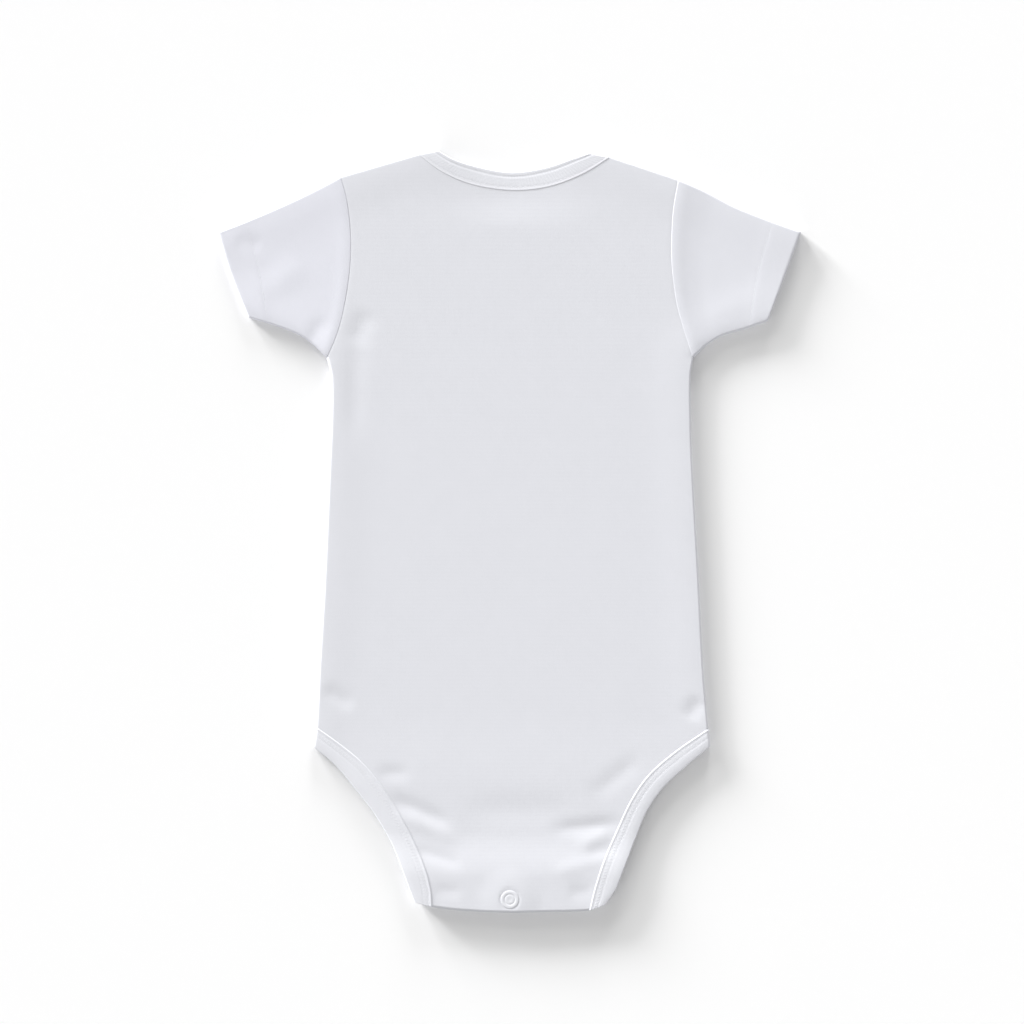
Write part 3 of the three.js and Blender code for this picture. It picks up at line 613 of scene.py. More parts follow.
def sheet_mesh(name, grids, outside, inside, grain=None):
    """A closed solid round a sheet of points in the middle of its wall. Points in the same place
    are joined. outside and inside are the wall's reach on each side, at each point of each grid.
    grain gives each point's distance along and across a band."""
    shapes = [grid.shape[:2] for grid in grids]
    points = np.vstack([grid.reshape(-1, 3) for grid in grids])
    reach = [np.concatenate([np.ravel(part) for part in wall]) for wall in (outside, inside)]
    _, kept, ids = np.unique(np.round(points, 4), axis=0, return_index=True, return_inverse=True)
    ids = ids.ravel()
    quads = []
    start = 0
    for rows, columns in shapes:
        grid = ids[start : start + rows * columns].reshape(rows, columns)
        corners = [grid[:-1, :-1], grid[1:, :-1], grid[1:, 1:], grid[:-1, 1:]]
        quads.append(np.stack([corner.ravel() for corner in corners], axis=1))
        start += rows * columns
    quads = np.vstack(quads)
    points = points[kept]
    outer, inner = (wall[kept] for wall in reach)
    normals = np.zeros_like(points)
    across = points[quads[:, 2]] - points[quads[:, 0]]
    along = points[quads[:, 3]] - points[quads[:, 1]]
    face_normals = np.cross(across, along)
    for corner in quads.T:
        np.add.at(normals, corner, face_normals)
    upright = np.abs(np.abs(points[:, 2] - SEAM_HEIGHT) - SEAM_GAP / 2) < 1e-6
    upright |= np.abs(points[:, 2] - SEAM_HEIGHT) < 1e-6
    normals[upright, 2] = 0
    normals /= np.maximum(np.linalg.norm(normals, axis=1, keepdims=True), 1e-12)

    below = len(points)
    faces = [trimmed(quad) for quad in quads.tolist()]
    faces = [face for face in faces if len(face) > 2]
    edges = {(face[i - 1], face[i]) for face in faces for i in range(len(face))}
    rim = [(b, a, a + below, b + below) for a, b in edges if (b, a) not in edges]
    back = [tuple(i + below for i in reversed(face)) for face in faces]
    shell = np.vstack([points + normals * outer[:, None], points - normals * inner[:, None]])
    shell[:, 2] = np.maximum(shell[:, 2], 0)
    piece = mesh_object(name, shell, [*faces, *back, *rim])
    if grain is not None:
        values = np.tile(grain.reshape(-1, 2)[kept], (2, 1))
        layer = piece.data.attributes.new("grain", "FLOAT_VECTOR", "POINT")
        layer.data.foreach_set("vector", np.column_stack([values, np.zeros(len(values))]).ravel())
    return piece


def trimmed(face):
    """A face without its repeated corners."""
    return tuple(i for n, i in enumerate(face) if i != face[n - 1])


def mesh_object(name, points, faces):
    mesh = bpy.data.meshes.new(name)
    mesh.from_pydata((np.asarray(points) * MM).tolist(), [], faces)
    mesh.validate()
    mesh.polygons.foreach_set("use_smooth", np.ones(len(mesh.polygons), bool))
    piece = bpy.data.objects.new(name, mesh)
    bpy.context.scene.collection.objects.link(piece)
    return piece


# Armhole seams: both edges dip where they are sewn together
SEAM_DIP = {"depth": 0.05, "reach": 1.8}
HEAD_GAP = 0.06


def seam_dip(x, y):
    distance = np.min(distance_to(ARMHOLE_LINES, x, y), axis=0)
    return SEAM_DIP["depth"] * (1 - np.clip(distance / SEAM_DIP["reach"], 0, 1)) ** 2


def sewn_height(x, y):
    """Height of the upper layer, with the dip along the armhole seams."""
    return back_height(x, y) - seam_dip(x, y) * roll_shares(x, y, 2)[0]


# Back: the sheet that shows, and the laps that carry on over the shoulder folds
neck_curve = Curve(stack(BACK_NECK["x"], BACK_NECK["y"]))


def back_top_edge():
    turns = np.array(TURN_STEPS)
    near = turns / neck_curve.length
    even = steps_to(1 - 2 * near[-1], OPEN_STEP / neck_curve.length)[1:-1] + near[-1]
    shares = np.concatenate([[0], near, even, (1 - near)[::-1], [1]])
    beside = []
    for side in SIDES:
        reach = np.hypot(*(side["tip"] - side["corner"]))
        end = reach - EDGE_STEPS[-1] * reach / abs(side["tip"][0] - side["corner"][0])
        runs = np.concatenate([turns, turns[-1] + steps_to(end - turns[-1], OPEN_STEP)[1:-1]])
        share = (runs / reach)[:, None]
        beside.append(lerp(side["corner"], side["tip"], share))
    return beside[0][::-1], neck_curve.at(shares), beside[1]


before_neck, neckline, after_neck = back_top_edge()
BACK_LEG_STEPS = [0.6, 1.4, 2.3, 3.4, 4.4, 5.5]
FRONT_LEG_STEPS = [0.3, 0.7, 1.2, 2.2, 3.2]
HEM_SHARE = 0.3
back_plan = panel_plan(
    0,
    np.vstack([before_neck, neckline, after_neck]),
    [side["leg"] for side in SIDES],
    BACK_LEG_STEPS,
    hem_y,
)


def shoulder_lap(side, fold):
    """A lap on the underside, as rows from the shoulder fold to its bound edge."""
    tip, corner = fold[0], fold[-1]
    bound = Curve(np.vstack([corner, side["lap"]]))
    end = bound.at(1)
    share = (corner[0] - fold[:, 0]) / (corner[0] - tip[0])
    edge = bound.at(share)
    length = np.hypot(*(edge - fold).T)
    last, rolled_last = len(LAP_STEPS) - 1, len(ROLL_STEPS) - 1
    rolled = np.minimum(ROLL, length * rolled_last / last)
    rows = [fold]
    for k, step in enumerate(LAP_STEPS[1:], 1):
        inner = np.minimum(step, length * k / last)
        outer = lerp(rolled, length, (step - ROLL) / (LAP_STEPS[-1] - ROLL))
        t = np.where(length > 0, (inner if step <= ROLL else outer) / np.maximum(length, 1e-9), 0)
        level = lerp(tip[1], end[1], t)
        bow = share * (side["armhole"](level) - lerp(tip[0], end[0], t))
        rows.append(stack(lerp(fold[:, 0], edge[:, 0], t) + bow, lerp(fold[:, 1], edge[:, 1], t)))
    return np.array(rows)


lap_columns = len(EDGE_STEPS) + len(before_neck) + 1
right_columns = len(EDGE_STEPS) + len(after_neck) + 1
LAPS = {
    "left": shoulder_lap(LEFT, back_plan["xy"][0][:lap_columns]),
    "right": shoulder_lap(RIGHT, back_plan["xy"][0][-right_columns:][::-1]),
}


def lap_grid(lap):
    z = floor_height(lap[..., 0], lap[..., 1], FLOOR_CLOTH)
    z[0] = SEAM_HEIGHT
    z[:, -1] = SEAM_HEIGHT
    return np.dstack([lap, z])[::-1]


def panel_walls(grids):
    outside = [np.full(grid.shape[:2], CLOTH / 2) for grid in grids]
    return outside, [inside_fold(grid, CLOTH / 2) for grid in grids]


def make_back():
    top = raised(back_plan, sewn_height, SEAM_HEIGHT + SEAM_GAP / 2)
    top[0, :lap_columns, 2] = SEAM_HEIGHT
    top[0, -right_columns:, 2] = SEAM_HEIGHT
    grids = [top, lap_grid(LAPS["left"]), lap_grid(LAPS["right"])[:, ::-1]]
    return sheet_mesh("back_cloth", grids, *panel_walls(grids))


# Front: it lies on the floor and on the laps, and folds up round the crotch into a tongue
FRONT_FIRST_STEP = 10


def front_leg(side, x, y, hip):
    rows = stack(FRONT_LEG[x] * side["hip"][0], FRONT_LEG[y])
    end = rows[-1, 0]
    return np.vstack([hip, rows[1:-1], [end, crotch_fold(end)]])


FRONT_SEAM = [front_leg(side, "x", "y", side["leg"][0]) for side in SIDES]
FRONT_FREE = [front_leg(side, "free_x", "free_y", side["leg_free"][0]) for side in SIDES]
front_neck = Curve(stack(FRONT_NECK["x"], FRONT_NECK["y"]))
front_plan = panel_plan(
    FRONT_FIRST_STEP,
    front_neck.at(steps_to(1, 2 * OPEN_STEP / front_neck.length)),
    FRONT_SEAM,
    FRONT_LEG_STEPS,
    crotch_fold,
)


def crotch_rows(x, level):
    """The rows round the crotch fold, from the floor to the end of the tongue."""
    rolled = np.array(CROTCH_STEPS)
    flat = CROTCH_ROLL + steps_to(TONGUE_LENGTH - CROTCH_ROLL, OPEN_STEP)[1:]
    rows = []
    for step in rolled[::-1]:
        y = crotch_fold(x) + step
        rows.append(np.column_stack([x, y, front_height(x, y, level)]))
    for step in [0, *rolled, *flat]:
        y = crotch_fold(x) + step
        rows.append(np.column_stack([x, y, tongue_height(x, y, level)]))
    return np.array(rows)


def make_front():
    def on_floor(x, y):
        return front_height(x, y, FLOOR_CLOTH)

    front = raised(front_plan, on_floor, SEAM_HEIGHT - SEAM_GAP / 2)
    tongue = crotch_rows(front[-1, :, 0], FLOOR_CLOTH)
    grids = [np.vstack([front[:-1], tongue])[:, ::-1]]
    return sheet_mesh("front_cloth", grids, *panel_walls(grids))


back_cloth = make_back()
front_cloth = make_front()

# Sleeves: flattened tubes, open along the underarm seam, with a hem turned in at the cuff
HEM_TURN = 0.6
CUFF_STEPS = [1.3, 0.9, 0.6, 0.35, 0.15, 0.04, 0]
CUFF_ROUND = 0.9
HEAD_SHARE = 1 / 3
HEAD_STEPS = [0, 0.3, 0.7, 1.1, 1.5]
HEAD_RIDGE = {"height": 0.1, "centre": 2.8, "width": 2.2}
HEM_RISE = {"height": 0.12, "start": 14, "run": 6}
HEM_STITCH = {"line": 10.6, "depth": 0.03, "width": 0.5}


def sleeve_shares(count, width):
    """Shares across a sleeve: close together at both folds and even between."""
    near = np.array(UNDERARM_STEPS[::-1]) / width
    between = count - 2 * len(near)
    even = lerp(near[-1], 1 - near[-1], np.arange(1, between + 1) / (between + 1))
    return np.concatenate([near, even, 1 - near[::-1]])


def rounded(distance, reach):
    """Share of a wall's thickness near its rounded edge."""
    t = 1 - np.clip(distance / reach, 0, 1)
    return np.sqrt(np.maximum(1 - t * t, 0.0004))


def make_sleeve(side):
    levels = armhole_levels(side)[::-1]
    under, top = side["under"], side["top"]
    run = np.concatenate([
        HEAD_STEPS,
        np.arange(HEAD_STEPS[-1] + 1, under.length - HEM_WIDTH - 1, 1.2),
        under.length - HEM_WIDTH + np.array([-0.5, 0, 0.3, 0.6, 1, 1.5]),
        under.length - np.arange(HEM_WIDTH - 2.5, 2, -1.2),
        under.length - np.array(CUFF_STEPS),
    ])
    shares = run / under.length
    head_x = side["armhole"](levels)
    straight = (levels - levels[0]) / (levels[-1] - levels[0])
    head_bow = head_x - lerp(head_x[0], head_x[-1], straight)
    over, lower = [], []
    for s in shares:
        low, high = under.at(s), top.at(s)
        even = sleeve_shares(len(levels), np.hypot(*(high - low)))
        c = lerp(straight, even, smooth(s / HEAD_SHARE))
        bow = side["sign"] * (side["bow"] * np.sin(math.pi * c) * s + HEAD_GAP * (1 - s))
        x = lerp(low[0], high[0], c) + bow + head_bow * (1 - s)
        y = lerp(low[1], high[1], c)
        over.append(stack(x, y))
        lower.append(stack(x, y))
    over, lower = np.array(over), np.array(lower)
    x, y = over[..., 0], over[..., 1]
    ridge = HEAD_RIDGE["height"] * bell((run - HEAD_RIDGE["centre"]) / HEAD_RIDGE["width"])
    lean = ridge + side["tilt"] * shares - side["fall"] * smooth(run / FALL_RUN)
    hem_rise = HEM_RISE["height"] * smooth((HEM_RISE["start"] - (under.length - run)) / HEM_RISE["run"])
    z = sewn_height(x, y) + (lean + hem_rise)[:, None] * roll_shares(x, y, 2)[0]
    z[:, 0] = SEAM_HEIGHT + SEAM_GAP / 2
    z[:, -1] = SEAM_HEIGHT
    z_low = floor_height(x, y, FLOOR_CLOTH)
    z_low[:, 0] = SEAM_HEIGHT - SEAM_GAP / 2
    ring = np.concatenate([np.dstack([over, z]), np.dstack([lower, z_low])[:, -2::-1]], axis=1)
    from_cuff = (under.length - run)[:, None] * np.ones(ring.shape[1])
    wall = rounded(from_cuff, CUFF_ROUND)
    groove = HEM_STITCH["depth"] * bell((from_cuff - HEM_STITCH["line"]) / HEM_STITCH["width"])
    turned = smooth((HEM_WIDTH - from_cuff) / HEM_TURN)
    outside = CLOTH / 2 * wall - groove
    inside = inside_fold(ring, (CLOTH / 2 + HEM_EXTRA * turned) * wall)
    if side["sign"] < 0:
        ring, outside, inside = ring[:, ::-1], outside[:, ::-1], inside[:, ::-1]
    cloth = sheet_mesh(f"sleeve_{side['name']}_cloth", [ring], [outside], [inside])
    around = np.linalg.norm(np.diff(ring[-len(CUFF_STEPS)], axis=0), axis=1)
    turned_ring = {
        "points": ring.transpose(1, 0, 2)[:, ::-1],
        "run": np.concatenate([[0], np.cumsum(around)])[:, None] * np.ones(len(run)),
        "inner": from_cuff.T[:, ::-1],
    }
    return cloth, Face(turned_ring, outside.T[:, ::-1])


# Bindings: rows across a band that wraps a panel's edge, each a little further along it
ALONG = 0.36
ACROSS = 0.3
LAP_OVER = 0.5
EDGE_ROUND = 0.8
FREE_ROUND = 0.6
RIB_PITCH = 1.8


def band_runs(length, rolled_end):
    """Distances along a band, close together at the fold that it starts from."""
    start = np.array(ROLL_STEPS)
    end = length - rolled_end
    return np.concatenate([start, start[-1] + steps_to(end - start[-1], ALONG)[1:]])


def band(edge, free, height, columns, rolled_end=0):
    """Points of a band from a panel's edge to its free edge, with each point's distance along
    it, from its inner edge and from its free edge."""
    edge, free = Line(edge), Curve(free)
    run = band_runs(edge.length, rolled_end)
    a, b = edge.at(run / edge.length), free.at(run / edge.length)
    width = np.hypot(*(b - a).T)
    u = np.linspace(0, 1, columns)
    near = lerp(u, smooth(u), 0.5)
    across = lerp(-LAP_OVER, width[:, None], near[None, :])
    share = across / width[:, None]
    points = a[:, None, :] + (b - a)[:, None, :] * share[..., None]
    x, y = points[..., 0], points[..., 1]
    z = height(x, y)
    z[0] = SEAM_HEIGHT
    return {
        "points": np.dstack([points, z]),
        "run": run[:, None] * np.ones_like(x),
        "inner": across + LAP_OVER,
        "outer": width[:, None] - across,
    }


def joined(bands):
    return {key: np.concatenate([part[key] for part in bands]) for key in bands[0]}


def part_of(piece, rows):
    return {key: value[rows] for key, value in piece.items()}


LEG_COLUMNS = 40
NECK_COLUMNS = 32
LEG_STITCHES = [1.9, 4.9]
LEG_FALL = {"depth": 0.22, "run": 4}


def leg_relief(piece):
    """What stands out of a leg binding's face: its lip, ribs and sunken lines of stitches."""
    inner, run = piece["inner"], piece["run"]
    lip = 0.05 * bell((inner - 0.6) / 0.5)
    fall = LEG_FALL["depth"] * (1 - np.clip(piece["outer"] / LEG_FALL["run"], 0, 1)) ** 2
    strip = smooth((inner - 1.2) / 0.5) * smooth((5.3 - inner) / 0.6)
    ribs = 0.008 * np.cos(2 * math.pi * run / RIB_PITCH) * lerp(0.3, 1, strip)
    sunk = sum(0.04 * bell((inner - line) / 0.35) for line in LEG_STITCHES)
    return lip + ribs - sunk - fall - 0.03 * strip


def neck_relief(piece):
    inner, outer, run = piece["inner"], piece["outer"], piece["run"]
    lip = 0.08 * bell((inner - 0.6) / 0.45)
    ribs = 0.012 * np.cos(2 * math.pi * run / RIB_PITCH)
    line = 0.05 * bell((inner - 2.2) / 0.3)
    groove = 0.1 * bell((outer - 2.6) / 0.6)
    return lip + ribs - line - groove


def make_binding(name, piece, half, relief):
    inner, outer = piece["inner"], piece["outer"]
    edge = rounded(inner, EDGE_ROUND) * rounded(outer, FREE_ROUND)
    outside = half * edge + relief(piece) * smooth(outer / FREE_ROUND)
    grain = np.dstack([piece["run"], inner])
    inside = inside_fold(piece["points"], half * edge)
    cloth = sheet_mesh(name, [piece["points"]], [outside], [inside], grain)
    return cloth, Face(piece, outside)


class Face:
    """The outer face of a band, read by the run along it and the distance from its inner edge."""

    def __init__(self, piece, outside):
        points = piece["points"]
        normals = np.cross(np.gradient(points, axis=0), np.gradient(points, axis=1))
        normals /= np.maximum(np.linalg.norm(normals, axis=2, keepdims=True), 1e-9)
        self.surface = np.dstack([points + normals * outside[..., None], normals])
        self.order = np.argsort(piece["run"][:, 0])
        self.run = piece["run"][self.order, 0]
        self.inner = piece["inner"]

    def at(self, run, inner):
        """A point on the face, and the direction out of it."""
        row = np.interp(run, self.run, self.order)
        first = min(int(row), len(self.surface) - 2)
        ends = []
        for r in (first, first + 1):
            column = np.interp(inner, self.inner[r], np.arange(self.inner.shape[1]))
            c = min(int(column), self.inner.shape[1] - 2)
            ends.append(lerp(self.surface[r, c], self.surface[r, c + 1], column - c))
        found = lerp(ends[0], ends[1], row - first)
        return found[:3], found[3:]


def make_leg(side, seam, free):
    level = LEG_BINDING / 2
    column = 0 if side["sign"] < 0 else -1

    def on_floor(x, y):
        return front_height(x, y, level)

    back_edge = back_plan["xy"][back_plan["hip"] :, column]
    front_edge = front_plan["xy"][front_plan["hip"] :, column]
    back = band(back_edge, side["leg_free"], back_height, LEG_COLUMNS)
    front = band(front_edge, free, on_floor, LEG_COLUMNS, CROTCH_ROLL + 0.3)
    x = Line(front_edge).at(1)[0]
    last = front["points"][-1, :, 0]
    share = (last - last[0]) / (last[-1] - last[0])
    rows = crotch_rows(lerp(x - side["sign"] * LAP_OVER, free[-1][0], share), level)
    count = len(rows)
    crotch = {
        "points": rows,
        "run": front["run"][-1] + np.linspace(0, TONGUE_LENGTH, count)[:, None],
        "inner": np.repeat(front["inner"][-1:], count, axis=0),
        "outer": np.repeat(front["outer"][-1:], count, axis=0),
    }
    backwards = part_of(back, slice(None, None, -1))
    backwards["run"] = -backwards["run"]
    whole = joined([backwards, part_of(front, slice(1, None)), crotch])
    if side["sign"] > 0:
        whole = part_of(whole, slice(None, None, -1))
    return make_binding(f"leg_rib_{side['name']}", whole, level, leg_relief)


def make_back_neck():
    level = NECK_BINDING / 2

    def on_floor(x, y):
        return floor_height(x, y, level)

    ends = []
    for side in SIDES:
        free = np.vstack([side["corner_free"], side["lap_free"]])
        lap = LAPS[side["name"]][-1][::-1]
        ends.append(band(lap, free, on_floor, NECK_COLUMNS))
    top_free = stack(BACK_NECK["free_x"], BACK_NECK["free_y"])
    top = band(neckline, top_free, back_height, NECK_COLUMNS)
    top["points"][-1, :, 2] = SEAM_HEIGHT
    left = part_of(ends[0], slice(None, 0, -1))
    left["run"] = -left["run"]
    right = part_of(ends[1], slice(1, None))
    right["run"] = right["run"] + top["run"][-1, 0]
    whole = joined([left, top, right])
    return make_binding("neck_rib_back", whole, level, neck_relief)


def make_front_neck():
    level = NECK_BINDING / 2

    def on_floor(x, y):
        return front_height(x, y, level)

    edge = front_plan["xy"][0][len(EDGE_STEPS) : -len(EDGE_STEPS)]
    free = stack(FRONT_NECK["free_x"], FRONT_NECK["free_y"])
    piece = band(edge, free, on_floor, NECK_COLUMNS)
    piece["points"][0, :, 2] = on_floor(*piece["points"][0, :, :2].T)
    return make_binding("neck_rib_front", piece, level, neck_relief)


sleeves = [make_sleeve(side) for side in SIDES]
legs = [make_leg(side, seam, free) for side, seam, free in zip(SIDES, FRONT_SEAM, FRONT_FREE)]
back_neck, back_neck_face = make_back_neck()
front_neck_binding, front_neck_face = make_front_neck()

# Stitches: short threads that lie on the cloth, with both ends in it
THREAD = {"radius": 0.13, "sides": 6, "length": 2.1, "pitch": 2.5, "end_margin": 1.2}
THREAD_LIFT = {"middle": -0.05, "ends": -0.17}
LADDER_PITCH = 1.8
HEM_LINES = [10.6]
NECK_LINES = [2.2]
THREAD_POINTS = 5


def thread_tube(centres, outs, radius):
    """A closed tube along a few points, narrower at its ends."""
    along = np.gradient(centres, axis=0)
    along /= np.linalg.norm(along, axis=1, keepdims=True)
    side = np.cross(along, outs)
    side /= np.linalg.norm(side, axis=1, keepdims=True)
    up = np.cross(side, along)
    count = len(centres)
    taper = 0.35 + 0.65 * np.sin(math.pi * np.linspace(0.12, 0.88, count)) ** 0.5
    angle = np.arange(THREAD["sides"]) * 2 * math.pi / THREAD["sides"]
    ring = np.cos(angle)[None, :, None] * side[:, None] + np.sin(angle)[None, :, None] * up[:, None]
    return (centres[:, None] + ring * (radius * taper)[:, None, None]).reshape(-1, 3)


def tube_faces(count, sides, start):
    faces = [tuple(start + i for i in reversed(range(sides)))]
    for k in range(count - 1):
        a = start + k * sides
        for i in range(sides):
            n = (i + 1) % sides
            faces.append((a + i, a + n, a + n + sides, a + i + sides))
    end = start + (count - 1) * sides
    faces.append(tuple(end + i for i in range(sides)))
    return faces


def stitch(face, start, end, radius):
    """A thread from one (run, inner) place on a face to another, dipping in at both ends."""
    found = [face.at(*lerp(np.array(start), np.array(end), t)) for t in np.linspace(0, 1, THREAD_POINTS)]
    points, outs = (np.array(part) for part in zip(*found))
    bow = np.sqrt(np.sin(math.pi * np.linspace(0, 1, THREAD_POINTS)))
    centres = points + outs * lerp(THREAD_LIFT["ends"], THREAD_LIFT["middle"], bow)[:, None]
    centres[:, 2] = np.maximum(centres[:, 2], radius)
    return thread_tube(centres, outs, radius)


def stitches(name, face, lines, ladder=()):
    """All the threads of one binding or hem, as one piece."""
    radius = THREAD["radius"]
    first, last = face.run[0] + THREAD["end_margin"], face.run[-1] - THREAD["end_margin"]
    count = int((last - first) / THREAD["pitch"])
    places = []
    for line in lines:
        for run in first + THREAD["pitch"] * np.arange(count):
            places.append(((run, line), (run + THREAD["length"], line)))
    if ladder:
        lean = LADDER_PITCH / 2
        for run in np.arange(first, last - lean, LADDER_PITCH):
            places.append(((run, ladder[0]), (run + lean, ladder[1])))
    tubes = [stitch(face, start, end, radius) for start, end in places]
    size = THREAD_POINTS * THREAD["sides"]
    faces = []
    for k in range(len(tubes)):
        faces.extend(tube_faces(THREAD_POINTS, THREAD["sides"], k * size))
    return mesh_object(name, np.vstack(tubes), faces)


leg_stitches = [
    stitches(f"leg_stitches_{side['name']}", face, LEG_STITCHES, LEG_STITCHES)
    for side, (_, face) in zip(SIDES, legs)
]
hem_stitches = [
    stitches(f"hem_stitches_{side['name']}", face, HEM_LINES)
    for side, (_, face) in zip(SIDES, sleeves)
]
neck_stitches = [
    stitches("neck_stitches_back", back_neck_face, NECK_LINES),
    stitches("neck_stitches_front", front_neck_face, NECK_LINES),
]

# Snap: parts turned about its axis, from tables of radius and height
SNAP_SEGMENTS = 56
SNAP_RINGS = 72
SNAP_BASE = {
    "back": SNAP_HEIGHT + CLOTH / 2 - SNAP_SEAT["depth"] + 0.02,
    "tongue": TONGUE_HEIGHT + CLOTH / 2 + SNAP_GAP,
    "front": CLOTH + SNAP_GAP,
}
STUD_OVER_SOCKET = 0.5
CAP = [
    (0, 0), (4.6, 0), (4.74, 0.04), (4.75, 0.09), (4.66, 0.14), (4.35, 0.18), (3.9, 0.2),
    (3.4, 0.19), (3.1, 0.15), (2.9, 0.09), (2.75, 0.06), (2.55, 0.07), (2.35, 0.11),
    (2.1, 0.14), (1.6, 0.15), (1.1, 0.145), (0.85, 0.12), (0.6, 0.1), (0.3, 0.1), (0, 0.1),
]
STUD = [
    (0, -0.25), (1.1, -0.25), (1.42, -0.2), (1.52, -0.08), (1.46, 0.06), (1.6, 0.15), (3.7, 0.15),
    (3.95, 0.2), (4, 0.3), (3.9, 0.42), (3.6, 0.45), (0, 0.45),
]
SOCKET = [
    (1.9, 0.25), (1.95, 0.06), (2.1, 0), (4.1, 0), (4.28, 0.1), (4.26, 0.26), (4, 0.4),
    (3.5, 0.49), (2.6, 0.5), (2.05, 0.44), (1.9, 0.25),
]
FRONT_CAP = [
    (0, 0), (3.5, 0), (3.85, 0.08), (4, 0.3), (3.9, 0.58), (3.55, 0.76), (3, 0.8), (0, 0.8),
]


def turned(name, base, profile):
    """A ring or disc turned about the snap's axis from its outline."""
    outline = Line(profile).at(np.linspace(0, 1, SNAP_RINGS))
    if profile[0] == profile[-1]:
        outline = outline[:-1]
    rings = len(outline)
    closed = profile[0] == profile[-1]
    angle = np.arange(SNAP_SEGMENTS) * 2 * math.pi / SNAP_SEGMENTS
    radius = np.maximum(outline[:, 0], 0)[:, None]
    points = np.dstack([
        SNAP["x"] + radius * np.cos(angle),
        SNAP["y"] + radius * np.sin(angle),
        base + outline[:, 1][:, None] * np.ones(SNAP_SEGMENTS),
    ])
    flat = points.reshape(-1, 3)
    _, kept, ids = np.unique(np.round(flat, 5), axis=0, return_index=True, return_inverse=True)
    ids = ids.reshape(rings, SNAP_SEGMENTS)
    faces = []
    for r in range(rings if closed else rings - 1):
        a, b = ids[r], ids[(r + 1) % rings]
        for i in range(SNAP_SEGMENTS):
            n = (i + 1) % SNAP_SEGMENTS
            face = trimmed((a[i], a[n], b[n], b[i]))
            if len(face) > 2:
                faces.append(face)
    return mesh_object(name, flat[kept], faces)


SNAP_PARTS = {
    "snap_cap_back": turned("snap_ring_back", SNAP_BASE["back"], CAP),
    "snap_stud": turned("snap_stud_part", SNAP_BASE["tongue"] + STUD_OVER_SOCKET, STUD),
    "snap_socket": turned("snap_socket_part", SNAP_BASE["tongue"], SOCKET),
    "snap_cap_front": turned("snap_ring_front", SNAP_BASE["front"], FRONT_CAP),
}


class Shader:
    """A new material whose nodes are made one by one."""

    def __init__(self, name):
        self.material = bpy.data.materials.new(name)
        self.material.use_nodes = True
        self.tree = self.material.node_tree
        self.out = self.tree.nodes["Principled BSDF"]

    def node(self, kind, settings=None, **inputs):
        made = self.tree.nodes.new(kind)
        for key, value in (settings or {}).items():
            setattr(made, key, value)
        for key, value in inputs.items():
            self.fill(made.inputs[int(key[1:]) if key[1:].isdigit() else key], value)
        return made

    def fill(self, socket, value):
        if isinstance(value, bpy.types.NodeSocket):
            self.tree.links.new(value, socket)
        else:
            socket.default_value = value

    def math(self, operation, a, b=0.0):
        made = self.node("ShaderNodeMath", {"operation": operation}, _0=a, _1=b)
        return made.outputs[0]

    def noise(self, place, scale, detail=2.0):
        made = self.node("ShaderNodeTexNoise", None, Vector=place, Scale=scale, Detail=detail)
        return made.outputs["Fac"]

    def between(self, share, low, high):
        """A number or colour between two, by a share."""
        if isinstance(low, tuple):
            made = self.node("ShaderNodeMix", {"data_type": "RGBA"}, _0=share, _6=low, _7=high)
            return made.outputs[2]
        settings = {"data_type": "FLOAT"}
        return self.node("ShaderNodeMix", settings, _0=share, _2=low, _3=high).outputs[0]

    def bump(self, height, distance):
        made = self.node("ShaderNodeBump", None, Height=height, Distance=distance, Strength=1.0)
        self.tree.links.new(made.outputs[0], self.out.inputs["Normal"])


def shade(colour, factor):
    return tuple(channel * factor for channel in colour) + (1.0,)


def loops(shader, across, along):
    """Height of a knitted face: wales of V-shaped loops, from 0 to 1."""
    wale = shader.math("FRACT", across)
    arm = shader.math("ABSOLUTE", shader.math("SUBTRACT", wale, 0.5))
    ridge = shader.math("SINE", shader.math("MULTIPLY", arm, 2 * math.pi))
    slant = shader.math("ADD", along, shader.math("MULTIPLY", arm, 1.1))
    course = shader.math("SINE", shader.math("MULTIPLY", slant, 2 * math.pi))
    course = shader.math("MULTIPLY_ADD", course, 0.3)
    return shader.math("MULTIPLY", ridge, course)


KNIT = {"wale": 0.85, "course": 0.7, "depth": 0.035, "fuzz": 0.3, "fuzz_size": 0.25}
TONE = {"size": 14, "low": 0.985, "high": 1.012}


def cloth_material(name, colour, turn=0, grain=False):
    """White cotton knit with fine loops, a little fuzz and faint changes of tone."""
    shader = Shader(name)
    if grain:
        place = shader.node("ShaderNodeAttribute", {"attribute_name": "grain"}).outputs["Vector"]
        per_mm = 1.0
    else:
        spot = shader.node("ShaderNodeTexCoord").outputs["Object"]
        rotation = (0.0, 0.0, turn)
        place = shader.node("ShaderNodeMapping", None, Vector=spot, Rotation=rotation).outputs[0]
        per_mm = 1 / MM
    split = shader.node("ShaderNodeSeparateXYZ", None, Vector=place)
    first, second = split.outputs[0], split.outputs[1]
    across = shader.math("MULTIPLY", first, per_mm / KNIT["wale"])
    along = shader.math("MULTIPLY", second, per_mm / KNIT["course"])
    fuzz = shader.noise(place, per_mm / KNIT["fuzz_size"], 3.0)
    height = shader.math("MULTIPLY_ADD", fuzz, KNIT["fuzz"])
    shader.fill(height.node.inputs[2], loops(shader, across, along))
    shader.bump(height, KNIT["depth"] * MM)
    tone = shader.noise(place, per_mm / TONE["size"], 4.0)
    mixed = shader.between(tone, shade(colour, TONE["low"]), shade(colour, TONE["high"]))
    shader.fill(shader.out.inputs["Base Color"], mixed)
    shader.fill(shader.out.inputs["Roughness"], shader.between(fuzz, 0.86, 0.98))
    shader.out.inputs["Specular IOR Level"].default_value = 0.25
    shader.out.inputs["Sheen Weight"].default_value = 0.12
    shader.out.inputs["Sheen Roughness"].default_value = 0.5
    return shader.material


